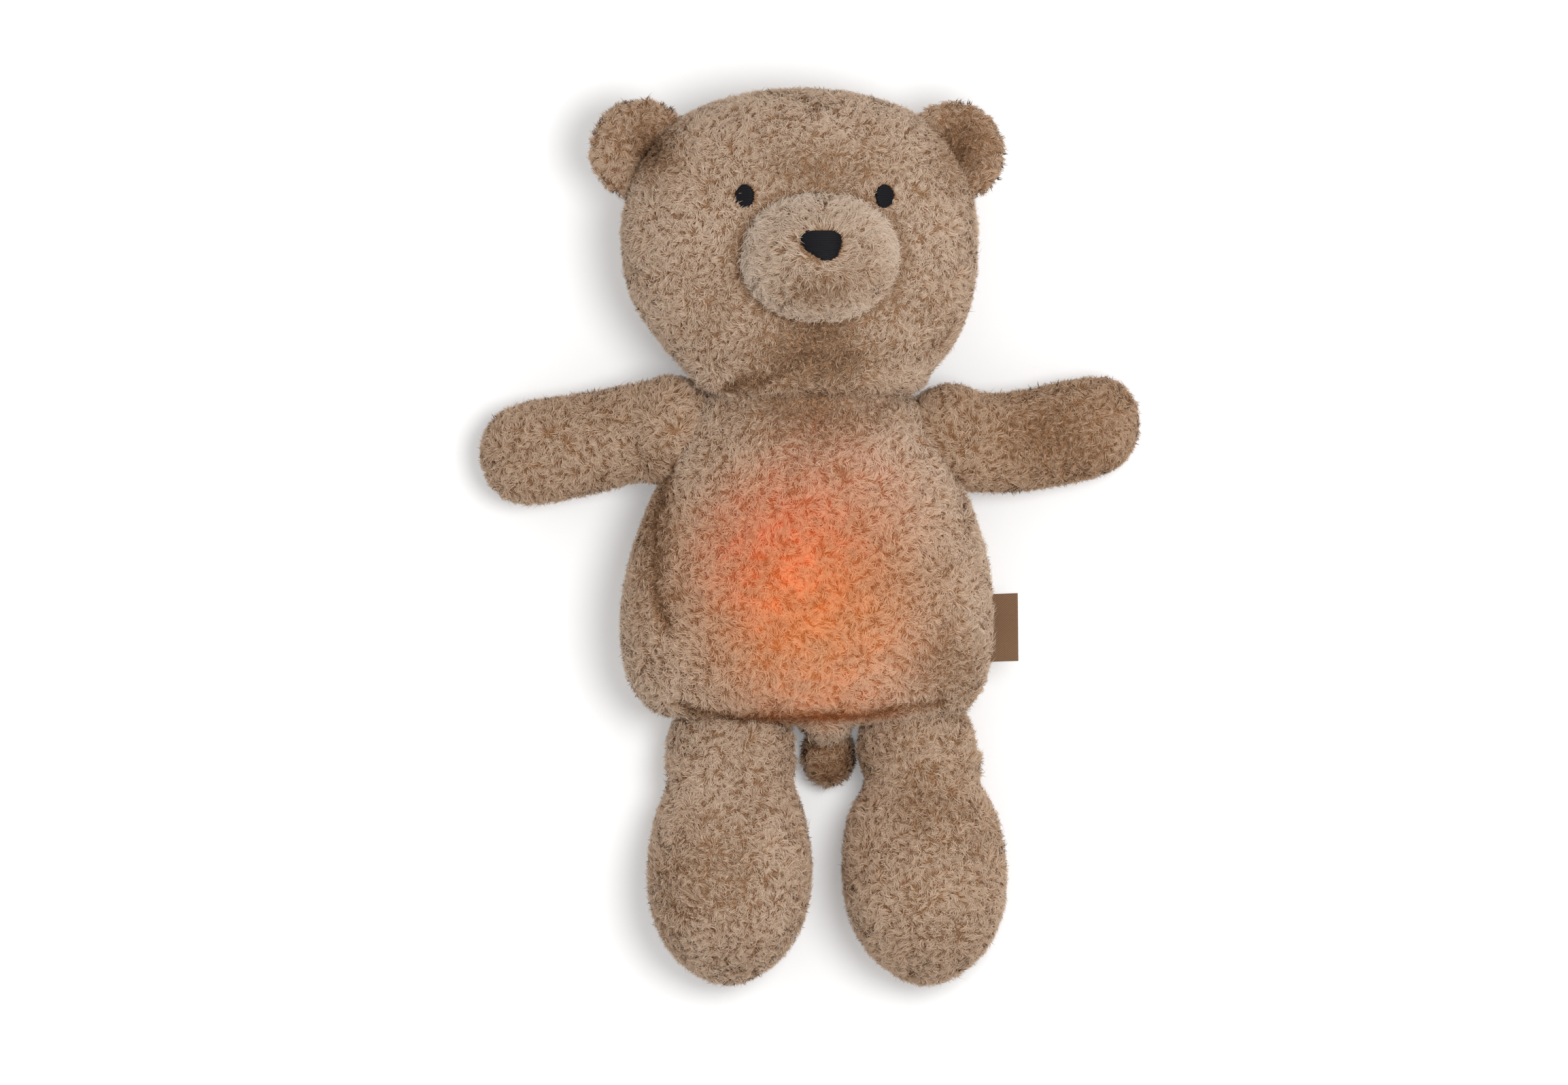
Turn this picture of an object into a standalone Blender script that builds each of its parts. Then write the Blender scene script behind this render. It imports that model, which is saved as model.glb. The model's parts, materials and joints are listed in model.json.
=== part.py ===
"""Plush bear night light: a stuffed toy lying on its back, with a press lamp in a pocket behind its belly.

Metres, +Z up. The belly faces +Z, the head points to +Y, and the arms reach along -X and +X.
The origin is on the surface that the toy lies on, under the middle of its outline.
Sizes of stuffed pieces are those of the cloth under the pile.
"""

import math

import bmesh
import bpy
import numpy as np
from mathutils import Matrix, Vector

# Clearances
seam_gap = 0.0003
socket_gap = 0.0004
floor_cut = 0.0005
overrun = 0.002
weld_distance = 0.000005

# Head
head_width = 0.123
head_length = 0.109
head_depth = 0.0745
head_shift = -0.003

# Body
body_width = 0.1292
body_length = 0.118
body_depth = 0.0715
body_tuck = 0.004
neck_width = 0.070
neck_depth = 0.048
neck_height = 0.028
neck_sink = 0.006
crotch_width = 0.021
crotch_depth = 0.036
crotch_drop = 0.007

# Arms
arm_reach = 0.0666
arm_width = 0.034
arm_thickness = 0.0325
shoulder_width = 0.037
shoulder_depth = 0.030
shoulder_height = 0.028
shoulder_drop = 0.015
shoulder_share = 0.76

# Legs
leg_length = 0.083
foot_width = 0.055
foot_depth = 0.056
thigh_depth = 0.034
hip_width = 0.043
hip_depth = 0.040
hip_drop = 0.009
left_hip_x = -0.028
right_hip_x = 0.0395
toe_out = 0.002

# Muzzle, ears, tail and embroidery
muzzle_width = 0.0545
muzzle_height = 0.045
muzzle_stand = 0.022
muzzle_x = 0.0031
muzzle_drop = 0.0585
ear_width = 0.034
ear_thickness = 0.012
ear_left_x = -0.0585
ear_right_x = 0.0515
ear_drop = 0.0195
ear_height = 0.036
tail_width = 0.017
tail_length = 0.020
tail_height = 0.018
tail_x = 0.0065
stitch_height = 0.0011
eye_width = 0.0074
eye_height = 0.0082
eye_drop = 0.037
eye_left_x = -0.0231
eye_right_x = 0.0263
nose_width = 0.016
nose_height = 0.0106
nose_x = 0.0039
nose_drop = 0.0546

# Side label
label_length = 0.024
label_reach = 0.0115
label_thickness = 0.0015
label_slot = 0.0005
label_height = 0.033
label_drop = 0.0870
label_tilt = math.radians(2)

# Pocket in the back
flap_width = 0.062
flap_length = 0.042
flap_thickness = 0.0012
flap_lift = 0.0004
mouth_width = 0.050
mouth_length = 0.030
strip_width = 0.0045
strip_thickness = 0.0008
pocket_wall = 0.0012
pocket_base = 0.0065
pocket_ease = 0.001

# Lamp case
lamp_share = 0.415
lamp_radius = 0.035
case_height = 0.028
case_wall = 0.002
case_floor = 0.0034
bay_wall = 0.0015
door_thickness = 0.0016
door_ledge = 0.0015
door_tab_width = 0.008
door_tab_reach = 0.007
column_radius = 0.0026
boss_radius = 0.0025
boss_x = 0.027
boss_y = 0.009
screw_radius = 0.001
screw_head_radius = 0.0019
screw_head_height = 0.0008
screw_length = 0.0075
ring_thickness = 0.0025
ring_lip = 0.0096
column_angles = (math.radians(90), math.radians(210), math.radians(330))

# Batteries
battery_radius = 0.00525
battery_length = 0.0445
battery_nub_radius = 0.0019
battery_nub_height = 0.0008
battery_pitch = 0.011
contact_thickness = 0.0004
contact_width = 0.007
spring_length = 0.0029
spring_radius = 0.0034
spring_tip_radius = 0.0022
spring_wire_radius = 0.00025
spring_turns = 3
battery_count = 3

# Board, switch and light sources
board_radius = 0.0276
board_thickness = 0.0016
board_height = 0.020
led_radius = 0.0025
led_height = 0.0066
led_rim = 0.0004
led_rim_height = 0.001
led_ring_radius = 0.014
switch_width = 0.006
switch_height = 0.0035
plunger_radius = 0.0016
plunger_length = 0.0027
press_travel = 0.001

# Dome
dome_height = 0.022
dome_wall = 0.0018
dome_flange = 0.0025
flange_height = 0.0018
stem_radius = 0.0025
collar_radius = 0.008
collar_height = 0.0015
collar_lift = 0.0022
cap_spring_radius = 0.0062
cap_spring_wire = 0.0004
cap_spring_turns = 4

# Outline of each stuffed form, as shares of its sizes. A body or head row holds its place along
# the length, its half width, and the lowest and highest point of its depth.
body_shares = (
    (0.03, 0.54, 0.12, 0.66),
    (0.125, 0.68, 0.05, 0.77),
    (0.25, 0.78, 0.00, 0.865),
    (0.38, 0.885, 0.00, 0.935),
    (0.53, 0.965, 0.00, 0.99),
    (0.68, 1.00, 0.00, 1.00),
    (0.81, 0.965, 0.00, 0.96),
    (0.915, 0.87, 0.02, 0.84),
    (0.975, 0.69, 0.10, 0.68),
)
head_shares = (
    (0.02, 0.34, 0.32, 0.70),
    (0.083, 0.65, 0.17, 0.84),
    (0.205, 0.87, 0.05, 0.95),
    (0.37, 0.985, 0.00, 1.00),
    (0.515, 1.00, 0.00, 1.00),
    (0.66, 0.95, 0.00, 0.985),
    (0.79, 0.86, 0.02, 0.95),
    (0.89, 0.755, 0.06, 0.89),
    (0.965, 0.60, 0.15, 0.79),
)
# Place along the leg, half width as a share of the foot's, half depth, and height of the middle
# as shares of the foot's depth.
leg_shares = (
    (0.03, 0.72, 0.29, 0.36),
    (0.16, 0.71, 0.30, 0.36),
    (0.30, 0.90, 0.38, 0.42),
    (0.44, 0.99, 0.46, 0.47),
    (0.58, 1.00, 0.50, 0.50),
    (0.72, 0.93, 0.49, 0.49),
    (0.86, 0.72, 0.40, 0.43),
    (0.95, 0.43, 0.25, 0.37),
)
# Place along the arm, half width and half thickness as shares of the arm's own.
arm_shares = (
    (0.02, 0.95, 0.72),
    (0.20, 0.96, 0.76),
    (0.42, 1.00, 0.92),
    (0.65, 1.00, 1.00),
    (0.82, 0.90, 0.93),
    (0.93, 0.64, 0.66),
)
# Sideways place of each arm's middle line, as shares of the arm's reach.
arm_left_sway_shares = (0.0, -0.01, -0.06, -0.10, -0.12, -0.12)
arm_right_sway_shares = (0.0, -0.05, -0.045, 0.0, 0.028, 0.04)
# How far along an arm its hand has come down to the surface, and how far a limb's root sinks.
droop_share = 0.65
root_share = 0.17
muzzle_shares = (
    (0.10, 0.90),
    (0.35, 1.00),
    (0.60, 0.98),
    (0.78, 0.84),
    (0.91, 0.58),
)
# Half of the nose's outline: across and along, as shares of its half width and half height.
nose_outline_shares = (
    (0.0, 0.62),
    (0.30, 0.98),
    (0.78, 0.96),
    (1.0, 0.58),
    (0.92, 0.0),
    (0.62, -0.62),
    (0.25, -1.0),
)
limb_ring_points = 10
form_ring_points = 14
top_power = 2.1
back_power = 3.0

# Places that follow from the sizes
toy_length = head_length - body_tuck + body_length + hip_drop + leg_length
head_top_y = toy_length / 2
chin_y = head_top_y - head_length
body_top_y = chin_y + body_tuck
body_bottom_y = body_top_y - body_length
shoulder_x = body_width / 2 * shoulder_share
shoulder_y = body_top_y - shoulder_drop
hip_y = body_bottom_y - hip_drop
hip_height = hip_depth / 2 - floor_cut
neck_pivot = Vector((0, body_top_y - neck_sink, neck_height))
lamp_y = body_bottom_y + body_length * lamp_share
flap_top_z = flap_lift + flap_thickness
hook_top_z = flap_top_z + seam_gap + strip_thickness
loop_top_z = hook_top_z + seam_gap + strip_thickness
liner_bottom_z = pocket_base + seam_gap
case_back_z = liner_bottom_z + pocket_wall + seam_gap
case_rim_z = case_back_z + case_height
dome_top_z = case_rim_z + dome_height
liner_radius = lamp_radius + pocket_ease + pocket_wall
liner_top_z = dome_top_z + pocket_ease + pocket_wall
liner_step_z = case_rim_z + ring_thickness + screw_head_height + 2 * seam_gap + pocket_ease + pocket_wall
dome_liner_radius = lamp_radius - ring_lip + pocket_ease + pocket_wall
board_bottom_z = case_back_z + board_height + seam_gap
board_top_z = board_bottom_z + board_thickness
dome_radius = lamp_radius - ring_lip - socket_gap
bay_depth = 2 * (battery_radius + seam_gap)
bay_width = (battery_count - 1) * battery_pitch + 2 * battery_radius + battery_nub_height + seam_gap
bay_length = battery_length + spring_length + contact_thickness + 4 * seam_gap
door_recess = door_thickness + seam_gap
screw_hole_radius = screw_radius + seam_gap

# Colour, roughness, metallic and alpha of each finish
finishes = {
    "plush": ((0.60, 0.42, 0.28), 0.95, 0.0, 1.0),
    "muzzle_plush": ((0.64, 0.47, 0.33), 0.95, 0.0, 1.0),
    "embroidery": ((0.012, 0.012, 0.014), 0.6, 0.0, 1.0),
    "label_tape": ((0.33, 0.20, 0.10), 0.8, 0.0, 1.0),
    "lining": ((0.62, 0.55, 0.46), 0.9, 0.0, 1.0),
    "hook_and_loop": ((0.45, 0.36, 0.28), 0.9, 0.0, 1.0),
    "case_plastic": ((0.80, 0.80, 0.78), 0.45, 0.0, 1.0),
    "diffuser": ((0.92, 0.90, 0.86), 0.35, 0.0, 0.7),
    "board": ((0.03, 0.20, 0.09), 0.5, 0.0, 1.0),
    "steel": ((0.62, 0.62, 0.60), 0.3, 1.0, 1.0),
    "battery": ((0.10, 0.10, 0.11), 0.35, 0.3, 1.0),
    "switch_plastic": ((0.05, 0.05, 0.05), 0.5, 0.0, 1.0),
    "led_coral": ((0.95, 0.30, 0.20), 0.2, 0.0, 1.0),
    "led_orange": ((0.98, 0.50, 0.15), 0.2, 0.0, 1.0),
    "led_amber": ((0.98, 0.70, 0.25), 0.2, 0.0, 1.0),
}


# Scene and general helpers

def clear_scene():
    for obj in list(bpy.data.objects):
        bpy.data.objects.remove(obj, do_unlink=True)


def new_collection(name):
    collection = bpy.data.collections.new(name)
    bpy.context.scene.collection.children.link(collection)
    return collection


def make_materials():
    made = {}
    for name, (colour, roughness, metallic, alpha) in finishes.items():
        material = bpy.data.materials.new(name)
        material.use_nodes = True
        shader = material.node_tree.nodes["Principled BSDF"]
        shader.inputs["Base Color"].default_value = (*colour, 1)
        shader.inputs["Roughness"].default_value = roughness
        shader.inputs["Metallic"].default_value = metallic
        shader.inputs["Alpha"].default_value = alpha
        made[name] = material
    return made


clear_scene()
toy = new_collection("plush_bear_night_light")
tools = new_collection("cutters")
materials = make_materials()


def mesh_object(name, mesh, collection=tools):
    obj = bpy.data.objects.new(name, mesh)
    collection.objects.link(obj)
    if collection is tools:
        obj.hide_render = True
        obj.display_type = "WIRE"
    return obj


def object_from(name, shape):
    """A cutter or blank from a bmesh, with its faces pointing out."""
    bmesh.ops.recalc_face_normals(shape, faces=shape.faces)
    mesh = bpy.data.meshes.new(name)
    shape.to_mesh(mesh)
    shape.free()
    return mesh_object(name, mesh)


def settle(obj):
    """Makes the object's modifiers and its place part of its mesh."""
    graph = bpy.context.evaluated_depsgraph_get()
    mesh = bpy.data.meshes.new_from_object(obj.evaluated_get(graph))
    mesh.transform(obj.matrix_world)
    obj.modifiers.clear()
    obj.data = mesh
    obj.matrix_world = Matrix.Identity(4)
    return obj


def boolean(obj, other, operation):
    modifier = obj.modifiers.new(operation.lower(), "BOOLEAN")
    modifier.operation = operation
    modifier.solver = "EXACT"
    modifier.object = other
    settle(obj)
    shape = bmesh.new()
    shape.from_mesh(obj.data)
    bmesh.ops.remove_doubles(shape, verts=shape.verts, dist=weld_distance)
    shape.to_mesh(obj.data)
    shape.free()
    return obj


def cut(obj, *cutters):
    for cutter in cutters:
        boolean(obj, cutter, "DIFFERENCE")
    return obj


def fuse(obj, *others):
    for other in others:
        boolean(obj, other, "UNION")
    return obj


def copy_of(obj, name):
    return mesh_object(name, obj.data.copy())


def grown(obj, name, gap):
    """A copy whose surface stands out by the gap."""
    copy = copy_of(obj, name)
    normals = [Vector(normal.vector) for normal in copy.data.vertex_normals]
    for vertex, normal in zip(copy.data.vertices, normals):
        vertex.co += normal * gap
    return copy


def piece(obj, name, finish, pivot=None, smooth=True):
    """Names a finished solid, gives it its finish and puts its origin on its joint's axis."""
    tools.objects.unlink(obj)
    toy.objects.link(obj)
    obj.name = name
    obj.data.name = name
    obj.hide_render = False
    obj.display_type = "TEXTURED"
    obj.data.materials.clear()
    obj.data.materials.append(materials[finish])
    if smooth:
        obj.data.shade_smooth()
        obj.data.set_sharp_from_angle(angle=math.radians(40))
    if pivot is not None:
        obj.data.transform(Matrix.Translation(-pivot))
        obj.location = pivot
    return obj


# Solids

def box(name, low, high):
    shape = bmesh.new()
    bmesh.ops.create_cube(shape, size=1)
    low = Vector(low)
    high = Vector(high)
    size = Matrix.Diagonal((*(high - low), 1))
    bmesh.ops.transform(shape, matrix=Matrix.Translation((low + high) / 2) @ size, verts=shape.verts)
    return object_from(name, shape)


def cylinder(name, radius, x, y, low, high, segments=24):
    shape = bmesh.new()
    bmesh.ops.create_cone(
        shape, cap_ends=True, segments=segments, radius1=radius, radius2=radius, depth=high - low
    )
    place = Matrix.Translation((x, y, (low + high) / 2))
    bmesh.ops.transform(shape, matrix=place, verts=shape.verts)
    return object_from(name, shape)


def joint_ball(name, pivot, axis, width, depth, gap=0.0):
    """A form turned about the joint's axis: round across it, and half as wide again along it."""
    shape = bmesh.new()
    bmesh.ops.create_uvsphere(shape, u_segments=24, v_segments=10, radius=1)
    size = Matrix.Diagonal((depth / 2 + gap, depth / 2 + gap, width / 2 + gap, 1))
    turn = Vector((0, 0, 1)).rotation_difference(Vector(axis)).to_matrix().to_4x4()
    bmesh.ops.transform(shape, matrix=Matrix.Translation(pivot) @ turn @ size, verts=shape.verts)
    return object_from(name, shape)


def ellipsoid(name, centre, radii, turn=0.0, segments=20, rings=10):
    shape = bmesh.new()
    bmesh.ops.create_uvsphere(shape, u_segments=segments, v_segments=rings, radius=1)
    size = Matrix.Diagonal((*radii, 1))
    place = Matrix.Translation(centre) @ Matrix.Rotation(turn, 4, "Z")
    bmesh.ops.transform(shape, matrix=place @ size, verts=shape.verts)
    return object_from(name, shape)


def turned(name, profile, centre, steps=32):
    """A profile of (radius, height) pairs, from the top of the outer side down, turned about +Z."""
    mesh = bpy.data.meshes.new(name)
    points = [(radius, 0, height) for radius, height in profile]
    mesh.from_pydata(points, [(k, k + 1) for k in range(len(points) - 1)], [])
    obj = mesh_object(name, mesh)
    screw = obj.modifiers.new("turn", "SCREW")
    screw.axis = "Z"
    screw.steps = steps
    screw.render_steps = steps
    screw.use_merge_vertices = True
    screw.merge_threshold = weld_distance
    obj.location = centre
    bpy.context.view_layer.update()
    settle(obj)
    shape = bmesh.new()
    shape.from_mesh(obj.data)
    bmesh.ops.remove_doubles(shape, verts=shape.verts, dist=weld_distance)
    bmesh.ops.recalc_face_normals(shape, faces=shape.faces)
    shape.to_mesh(obj.data)
    shape.free()
    return obj


def coil(name, centre, axis, length, radius, tip_radius, wire, turns, points_per_turn=10):
    """A wire wound about an axis, from its wide end to its narrow one."""
    curve = bpy.data.curves.new(name, "CURVE")
    curve.dimensions = "3D"
    curve.bevel_depth = wire
    curve.bevel_resolution = 0
    curve.use_fill_caps = True
    spline = curve.splines.new("POLY")
    count = turns * points_per_turn + 1
    spline.points.add(count - 1)
    turn = Vector((0, 0, 1)).rotation_difference(Vector(axis)).to_matrix()
    for k in range(count):
        share = k / (count - 1)
        angle = 2 * math.pi * turns * share
        reach = radius + (tip_radius - radius) * share
        rise = wire + (length - 2 * wire) * share
        local = Vector((reach * math.cos(angle), reach * math.sin(angle), rise))
        spline.points[k].co = (*(Vector(centre) + turn @ local), 1)
    source = bpy.data.objects.new(name, curve)
    tools.objects.link(source)
    bpy.context.view_layer.update()
    graph = bpy.context.evaluated_depsgraph_get()
    mesh = bpy.data.meshes.new_from_object(source.evaluated_get(graph))
    bpy.data.objects.remove(source, do_unlink=True)
    shape = bmesh.new()
    shape.from_mesh(mesh)
    bmesh.ops.remove_doubles(shape, verts=shape.verts, dist=weld_distance)
    return object_from(name, shape)


def ring_shape(count, lower_power):
    """Points round a soft section: a superellipse with a flatter lower half, once round."""
    angles = np.linspace(0, 2 * np.pi, count, endpoint=False)
    across = np.cos(angles)
    up = np.sin(angles)
    power = np.where(up < 0, lower_power, top_power)
    across = np.sign(across) * np.abs(across) ** (2 / power)
    up = np.sign(up) * np.abs(up) ** (2 / power)
    return across, up


def stuffed(name, rings, start, end, count, lower_power=top_power):
    """A soft form from a coarse cage with Subdivision Surface. A ring is its middle, its half width
    as a vector, and its half depth as a vector; start and end are the tips."""
    swell = 1 / (0.75 + 0.25 * math.cos(2 * math.pi / count))
    across, up = ring_shape(count, lower_power)
    shape = bmesh.new()
    loops = []
    for middle, side, depth in rings:
        points = [middle + (side * float(a) + depth * float(u)) * swell for a, u in zip(across, up)]
        loops.append([shape.verts.new(point) for point in points])
    for one, two in zip(loops, loops[1:]):
        for k in range(count):
            shape.faces.new((one[k], one[(k + 1) % count], two[(k + 1) % count], two[k]))
    for tip, loop in ((start, loops[0]), (end, loops[-1])):
        pole = shape.verts.new(tip)
        for k in range(count):
            shape.faces.new((pole, loop[k], loop[(k + 1) % count]))
    obj = object_from(name, shape)
    smooth = obj.modifiers.new("smooth", "SUBSURF")
    smooth.levels = 1
    smooth.render_levels = 1
    return settle(obj)


def fit(obj, low, high):
    """Stretches a form so that its box is the one given; None leaves an axis alone."""
    points = np.array([vertex.co for vertex in obj.data.vertices])
    for axis in range(3):
        if low[axis] is None:
            continue
        least = points[:, axis].min()
        most = points[:, axis].max()
        scale = (high[axis] - low[axis]) / (most - least)
        points[:, axis] = low[axis] + (points[:, axis] - least) * scale
    obj.data.vertices.foreach_set("co", points.ravel())
    obj.data.update()
    return obj


def flatten_back(obj):
    """Cuts a form flat where it lies on the surface."""
    reach = 2 * toy_length
    floor = box("floor_cutter", (-reach, -reach, -reach), (reach, reach, 0))
    return cut(obj, floor)


# Stuffed forms

def lengthwise_form(name, shares, middle_x, top_y, length, width, depth):
    """A body or head: rings across the toy's length, from the top down."""
    rings = []
    for place, half, low, high in shares:
        middle = Vector((middle_x, top_y - length * place, depth * (low + high) / 2 - floor_cut))
        side = Vector((width / 2 * half, 0, 0))
        up = Vector((0, 0, depth * (high - low) / 2))
        rings.append((middle, side, up))
    start = Vector((middle_x, top_y, rings[0][0].z))
    end = Vector((middle_x, top_y - length, rings[-1][0].z))
    obj = stuffed(name, rings, start, end, form_ring_points, back_power)
    low = (middle_x - width / 2, top_y - length, -floor_cut)
    high = (middle_x + width / 2, top_y, depth - floor_cut)
    return fit(obj, low, high)


def arm_form(name, direction, sway_shares):
    pivot = Vector((direction * shoulder_x, shoulder_y, shoulder_height))
    hand_height = arm_thickness / 2 - floor_cut
    rings = []
    for (place, wide, thick), sway in zip(arm_shares, sway_shares):
        settled = math.sin(min(place / droop_share, 1) * math.pi / 2)
        droop = shoulder_height + (hand_height - shoulder_height) * settled
        middle = Vector((pivot.x + direction * arm_reach * place, pivot.y + arm_reach * sway, droop))
        side = Vector((0, arm_width / 2 * wide, 0))
        up = Vector((0, 0, arm_thickness / 2 * thick))
        rings.append((middle, side, up))
    root = pivot - Vector((direction * shoulder_depth * root_share, 0, 0))
    tip = Vector((pivot.x + direction * arm_reach, rings[-1][0].y, rings[-1][0].z))
    obj = stuffed(name, rings, root, tip, limb_ring_points)
    points = [vertex.co.x * direction for vertex in obj.data.vertices]
    inner = min(points)
    ends = sorted((direction * inner, direction * (shoulder_x + arm_reach)))
    fit(obj, (ends[0], None, None), (ends[1], None, None))
    fuse(obj, joint_ball(name + "_ball", pivot, (0, 1, 0), shoulder_width, shoulder_depth))
    flatten_back(obj)
    return obj, pivot


def leg_form(name, hip_x, lean):
    pivot = Vector((hip_x, hip_y, hip_height))
    rings = []
    for place, wide, thick, height in leg_shares:
        middle = Vector((hip_x + lean * place, hip_y - leg_length * place, foot_depth * height))
        side = Vector((foot_width / 2 * wide, 0, 0))
        up = Vector((0, 0, foot_depth * thick))
        rings.append((middle, side, up))
    root = pivot + Vector((0, thigh_depth * root_share, 0))
    tip = Vector((hip_x + lean, hip_y - leg_length, rings[-1][0].z))
    obj = stuffed(name, rings, root, tip, limb_ring_points)
    fit(obj, (None, hip_y - leg_length, -floor_cut), (None, root.y, foot_depth - floor_cut))
    fuse(obj, joint_ball(name + "_ball", pivot, (1, 0, 0), hip_width, hip_depth))
    flatten_back(obj)
    return obj, pivot


def muzzle_form(head):
    """A flat-fronted pad on the face: rings across its height, cut to the head behind it."""
    base_z = head_depth / 2
    rise = head_depth - floor_cut + muzzle_stand - base_z
    centre_y = head_top_y - muzzle_drop
    rings = []
    for place, half in muzzle_shares:
        middle = Vector((muzzle_x, centre_y, base_z + rise * place))
        side = Vector((muzzle_width / 2 * half, 0, 0))
        rings.append((middle, side, Vector((0, muzzle_height / 2 * half, 0))))
    start = Vector((muzzle_x, centre_y, base_z))
    end = Vector((muzzle_x, centre_y, base_z + rise))
    obj = stuffed("muzzle_form", rings, start, end, limb_ring_points + 2)
    low = (muzzle_x - muzzle_width / 2, centre_y - muzzle_height / 2, base_z)
    high = (muzzle_x + muzzle_width / 2, centre_y + muzzle_height / 2, base_z + rise)
    return fit(obj, low, high)


def stitched_patch(name, outline, ground, low_z, high_z):
    """Satin stitching: the outline's column between two skins just outside the ground form."""
    shape = bmesh.new()
    loop = [shape.verts.new((x, y, low_z)) for x, y in outline]
    face = shape.faces.new(loop)
    raised = bmesh.ops.extrude_face_region(shape, geom=[face])
    top = [item for item in raised["geom"] if isinstance(item, bmesh.types.BMVert)]
    bmesh.ops.translate(shape, vec=(0, 0, high_z - low_z), verts=top)
    column = object_from(name, shape)
    boolean(column, grown(ground, name + "_outer", seam_gap + stitch_height), "INTERSECT")
    return cut(column, grown(ground, name + "_inner", seam_gap))


def oval(x, y, width, height, count=12):
    angles = [2 * math.pi * k / count for k in range(count)]
    return [(x + width / 2 * math.cos(angle), y + height / 2 * math.sin(angle)) for angle in angles]


def build_plush():
    body = lengthwise_form("body_form", body_shares, 0, body_top_y, body_length, body_width, body_depth)
    head = lengthwise_form(
        "head_form", head_shares, head_shift, head_top_y, head_length, head_width, head_depth
    )
    arms = (
        ("arm_left", *arm_form("arm_left_form", -1, arm_left_sway_shares), (0, 1, 0)),
        ("arm_right", *arm_form("arm_right_form", 1, arm_right_sway_shares), (0, 1, 0)),
    )
    legs = (
        ("leg_left", *leg_form("leg_left_form", left_hip_x, -toe_out / 2)),
        ("leg_right", *leg_form("leg_right_form", right_hip_x, toe_out)),
    )
    crotch_x = (left_hip_x + right_hip_x) / 2
    crotch = ellipsoid(
        "crotch",
        (crotch_x, body_bottom_y + crotch_drop, crotch_depth / 2 + overrun),
        (crotch_width / 2, 2 * crotch_drop, crotch_depth / 2),
    )
    neck = joint_ball("neck_ball", neck_pivot, (1, 0, 0), neck_width, neck_depth)
    fuse(body, crotch, neck)
    flatten_back(body)
    for name, limb, pivot, axis in arms:
        cut(body, joint_ball(name + "_socket", pivot, axis, shoulder_width, shoulder_depth, socket_gap))
    for name, limb, pivot in legs:
        cut(body, joint_ball(name + "_socket", pivot, (1, 0, 0), hip_width, hip_depth, socket_gap))

    body_skin = grown(body, "body_skin", seam_gap)
    tail = ellipsoid(
        "tail_form",
        (tail_x, body_bottom_y - crotch_drop - tail_length / 4, tail_height / 2),
        (tail_width / 2, tail_length / 2, tail_height / 2),
        segments=16,
        rings=8,
    )
    cut(tail, body_skin)
    label = label_form(body_skin)

    muzzle = muzzle_form(head)
    mirrored = tuple((-x, y) for x, y in reversed(nose_outline_shares[1:]))
    nose_outline = [
        (nose_x + nose_width / 2 * x, head_top_y - nose_drop + nose_height / 2 * y)
        for x, y in nose_outline_shares + mirrored
    ]
    top_z = head_depth + 2 * muzzle_stand
    nose = stitched_patch("nose_form", nose_outline, muzzle, head_depth, top_z)
    eye_y = head_top_y - eye_drop
    eyes = {
        "eye_left": stitched_patch(
            "eye_left_form", oval(eye_left_x, eye_y, eye_width, eye_height), head, head_depth / 2, top_z
        ),
        "eye_right": stitched_patch(
            "eye_right_form", oval(eye_right_x, eye_y, eye_width, eye_height), head, head_depth / 2, top_z
        ),
    }
    head_skin = grown(head, "head_skin", seam_gap)
    ears = {}
    for name, x in (("ear_left", ear_left_x), ("ear_right", ear_right_x)):
        centre = (x, head_top_y - ear_drop, ear_height)
        ears[name] = ellipsoid(name + "_form", centre, (ear_width / 2, ear_width / 2, ear_thickness / 2))
        cut(ears[name], head_skin)
    cut(muzzle, head_skin)
    for name, limb, pivot, axis in arms:
        cut(limb, head_skin)
    for eye in eyes.values():
        cut(eye, grown(muzzle, "muzzle_skin", seam_gap))
    flatten_back(head)
    cut(head, joint_ball("neck_socket", neck_pivot, (1, 0, 0), neck_width, neck_depth, socket_gap))

    piece(head, "head_plush", "plush", neck_pivot)
    piece(muzzle, "muzzle", "muzzle_plush", neck_pivot)
    for name, ear in ears.items():
        piece(ear, name, "plush", neck_pivot)
    for name, eye in eyes.items():
        piece(eye, name, "embroidery", neck_pivot)
    piece(nose, "nose", "embroidery", neck_pivot)
    for name, limb, pivot, axis in arms:
        piece(limb, name, "plush", pivot)
    for name, limb, pivot in legs:
        piece(limb, name, "plush", pivot)
    piece(tail, "tail", "plush")
    piece(label, "side_label", "label_tape", smooth=False)
    return body


def label_form(body_skin):
    """Tape folded into a flat loop, its ends caught in the side seam."""
    outer_x = body_width / 2 + label_reach / 2
    centre_y = body_top_y - label_drop
    tape = box(
        "label_form",
        (outer_x - label_reach, -label_length / 2, -label_thickness / 2),
        (outer_x + label_reach / 4, label_length / 2, label_thickness / 2),
    )
    slot = box(
        "label_slot",
        (outer_x - label_reach - overrun, -label_length / 2 - overrun, -label_slot / 2),
        (outer_x + label_reach / 4 - label_slot, label_length / 2 + overrun, label_slot / 2),
    )
    cut(tape, slot)
    turn = Matrix.Translation((0, centre_y, label_height)) @ Matrix.Rotation(label_tilt, 4, "Z")
    tape.data.transform(turn)
    return cut(tape, body_skin)


# Pocket and flap

def pocket_form(name, growth):
    """The pocket's shape: wide round the lamp's case, then stepped in round its dome."""
    wide = cylinder(
        name, liner_radius + growth, 0, lamp_y, liner_bottom_z - growth, liner_step_z + growth, 40
    )
    low_z = liner_step_z - overrun
    narrow = cylinder(name + "_dome", dome_liner_radius + growth, 0, lamp_y, low_z, liner_top_z + growth, 40)
    return fuse(wide, narrow)


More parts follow.
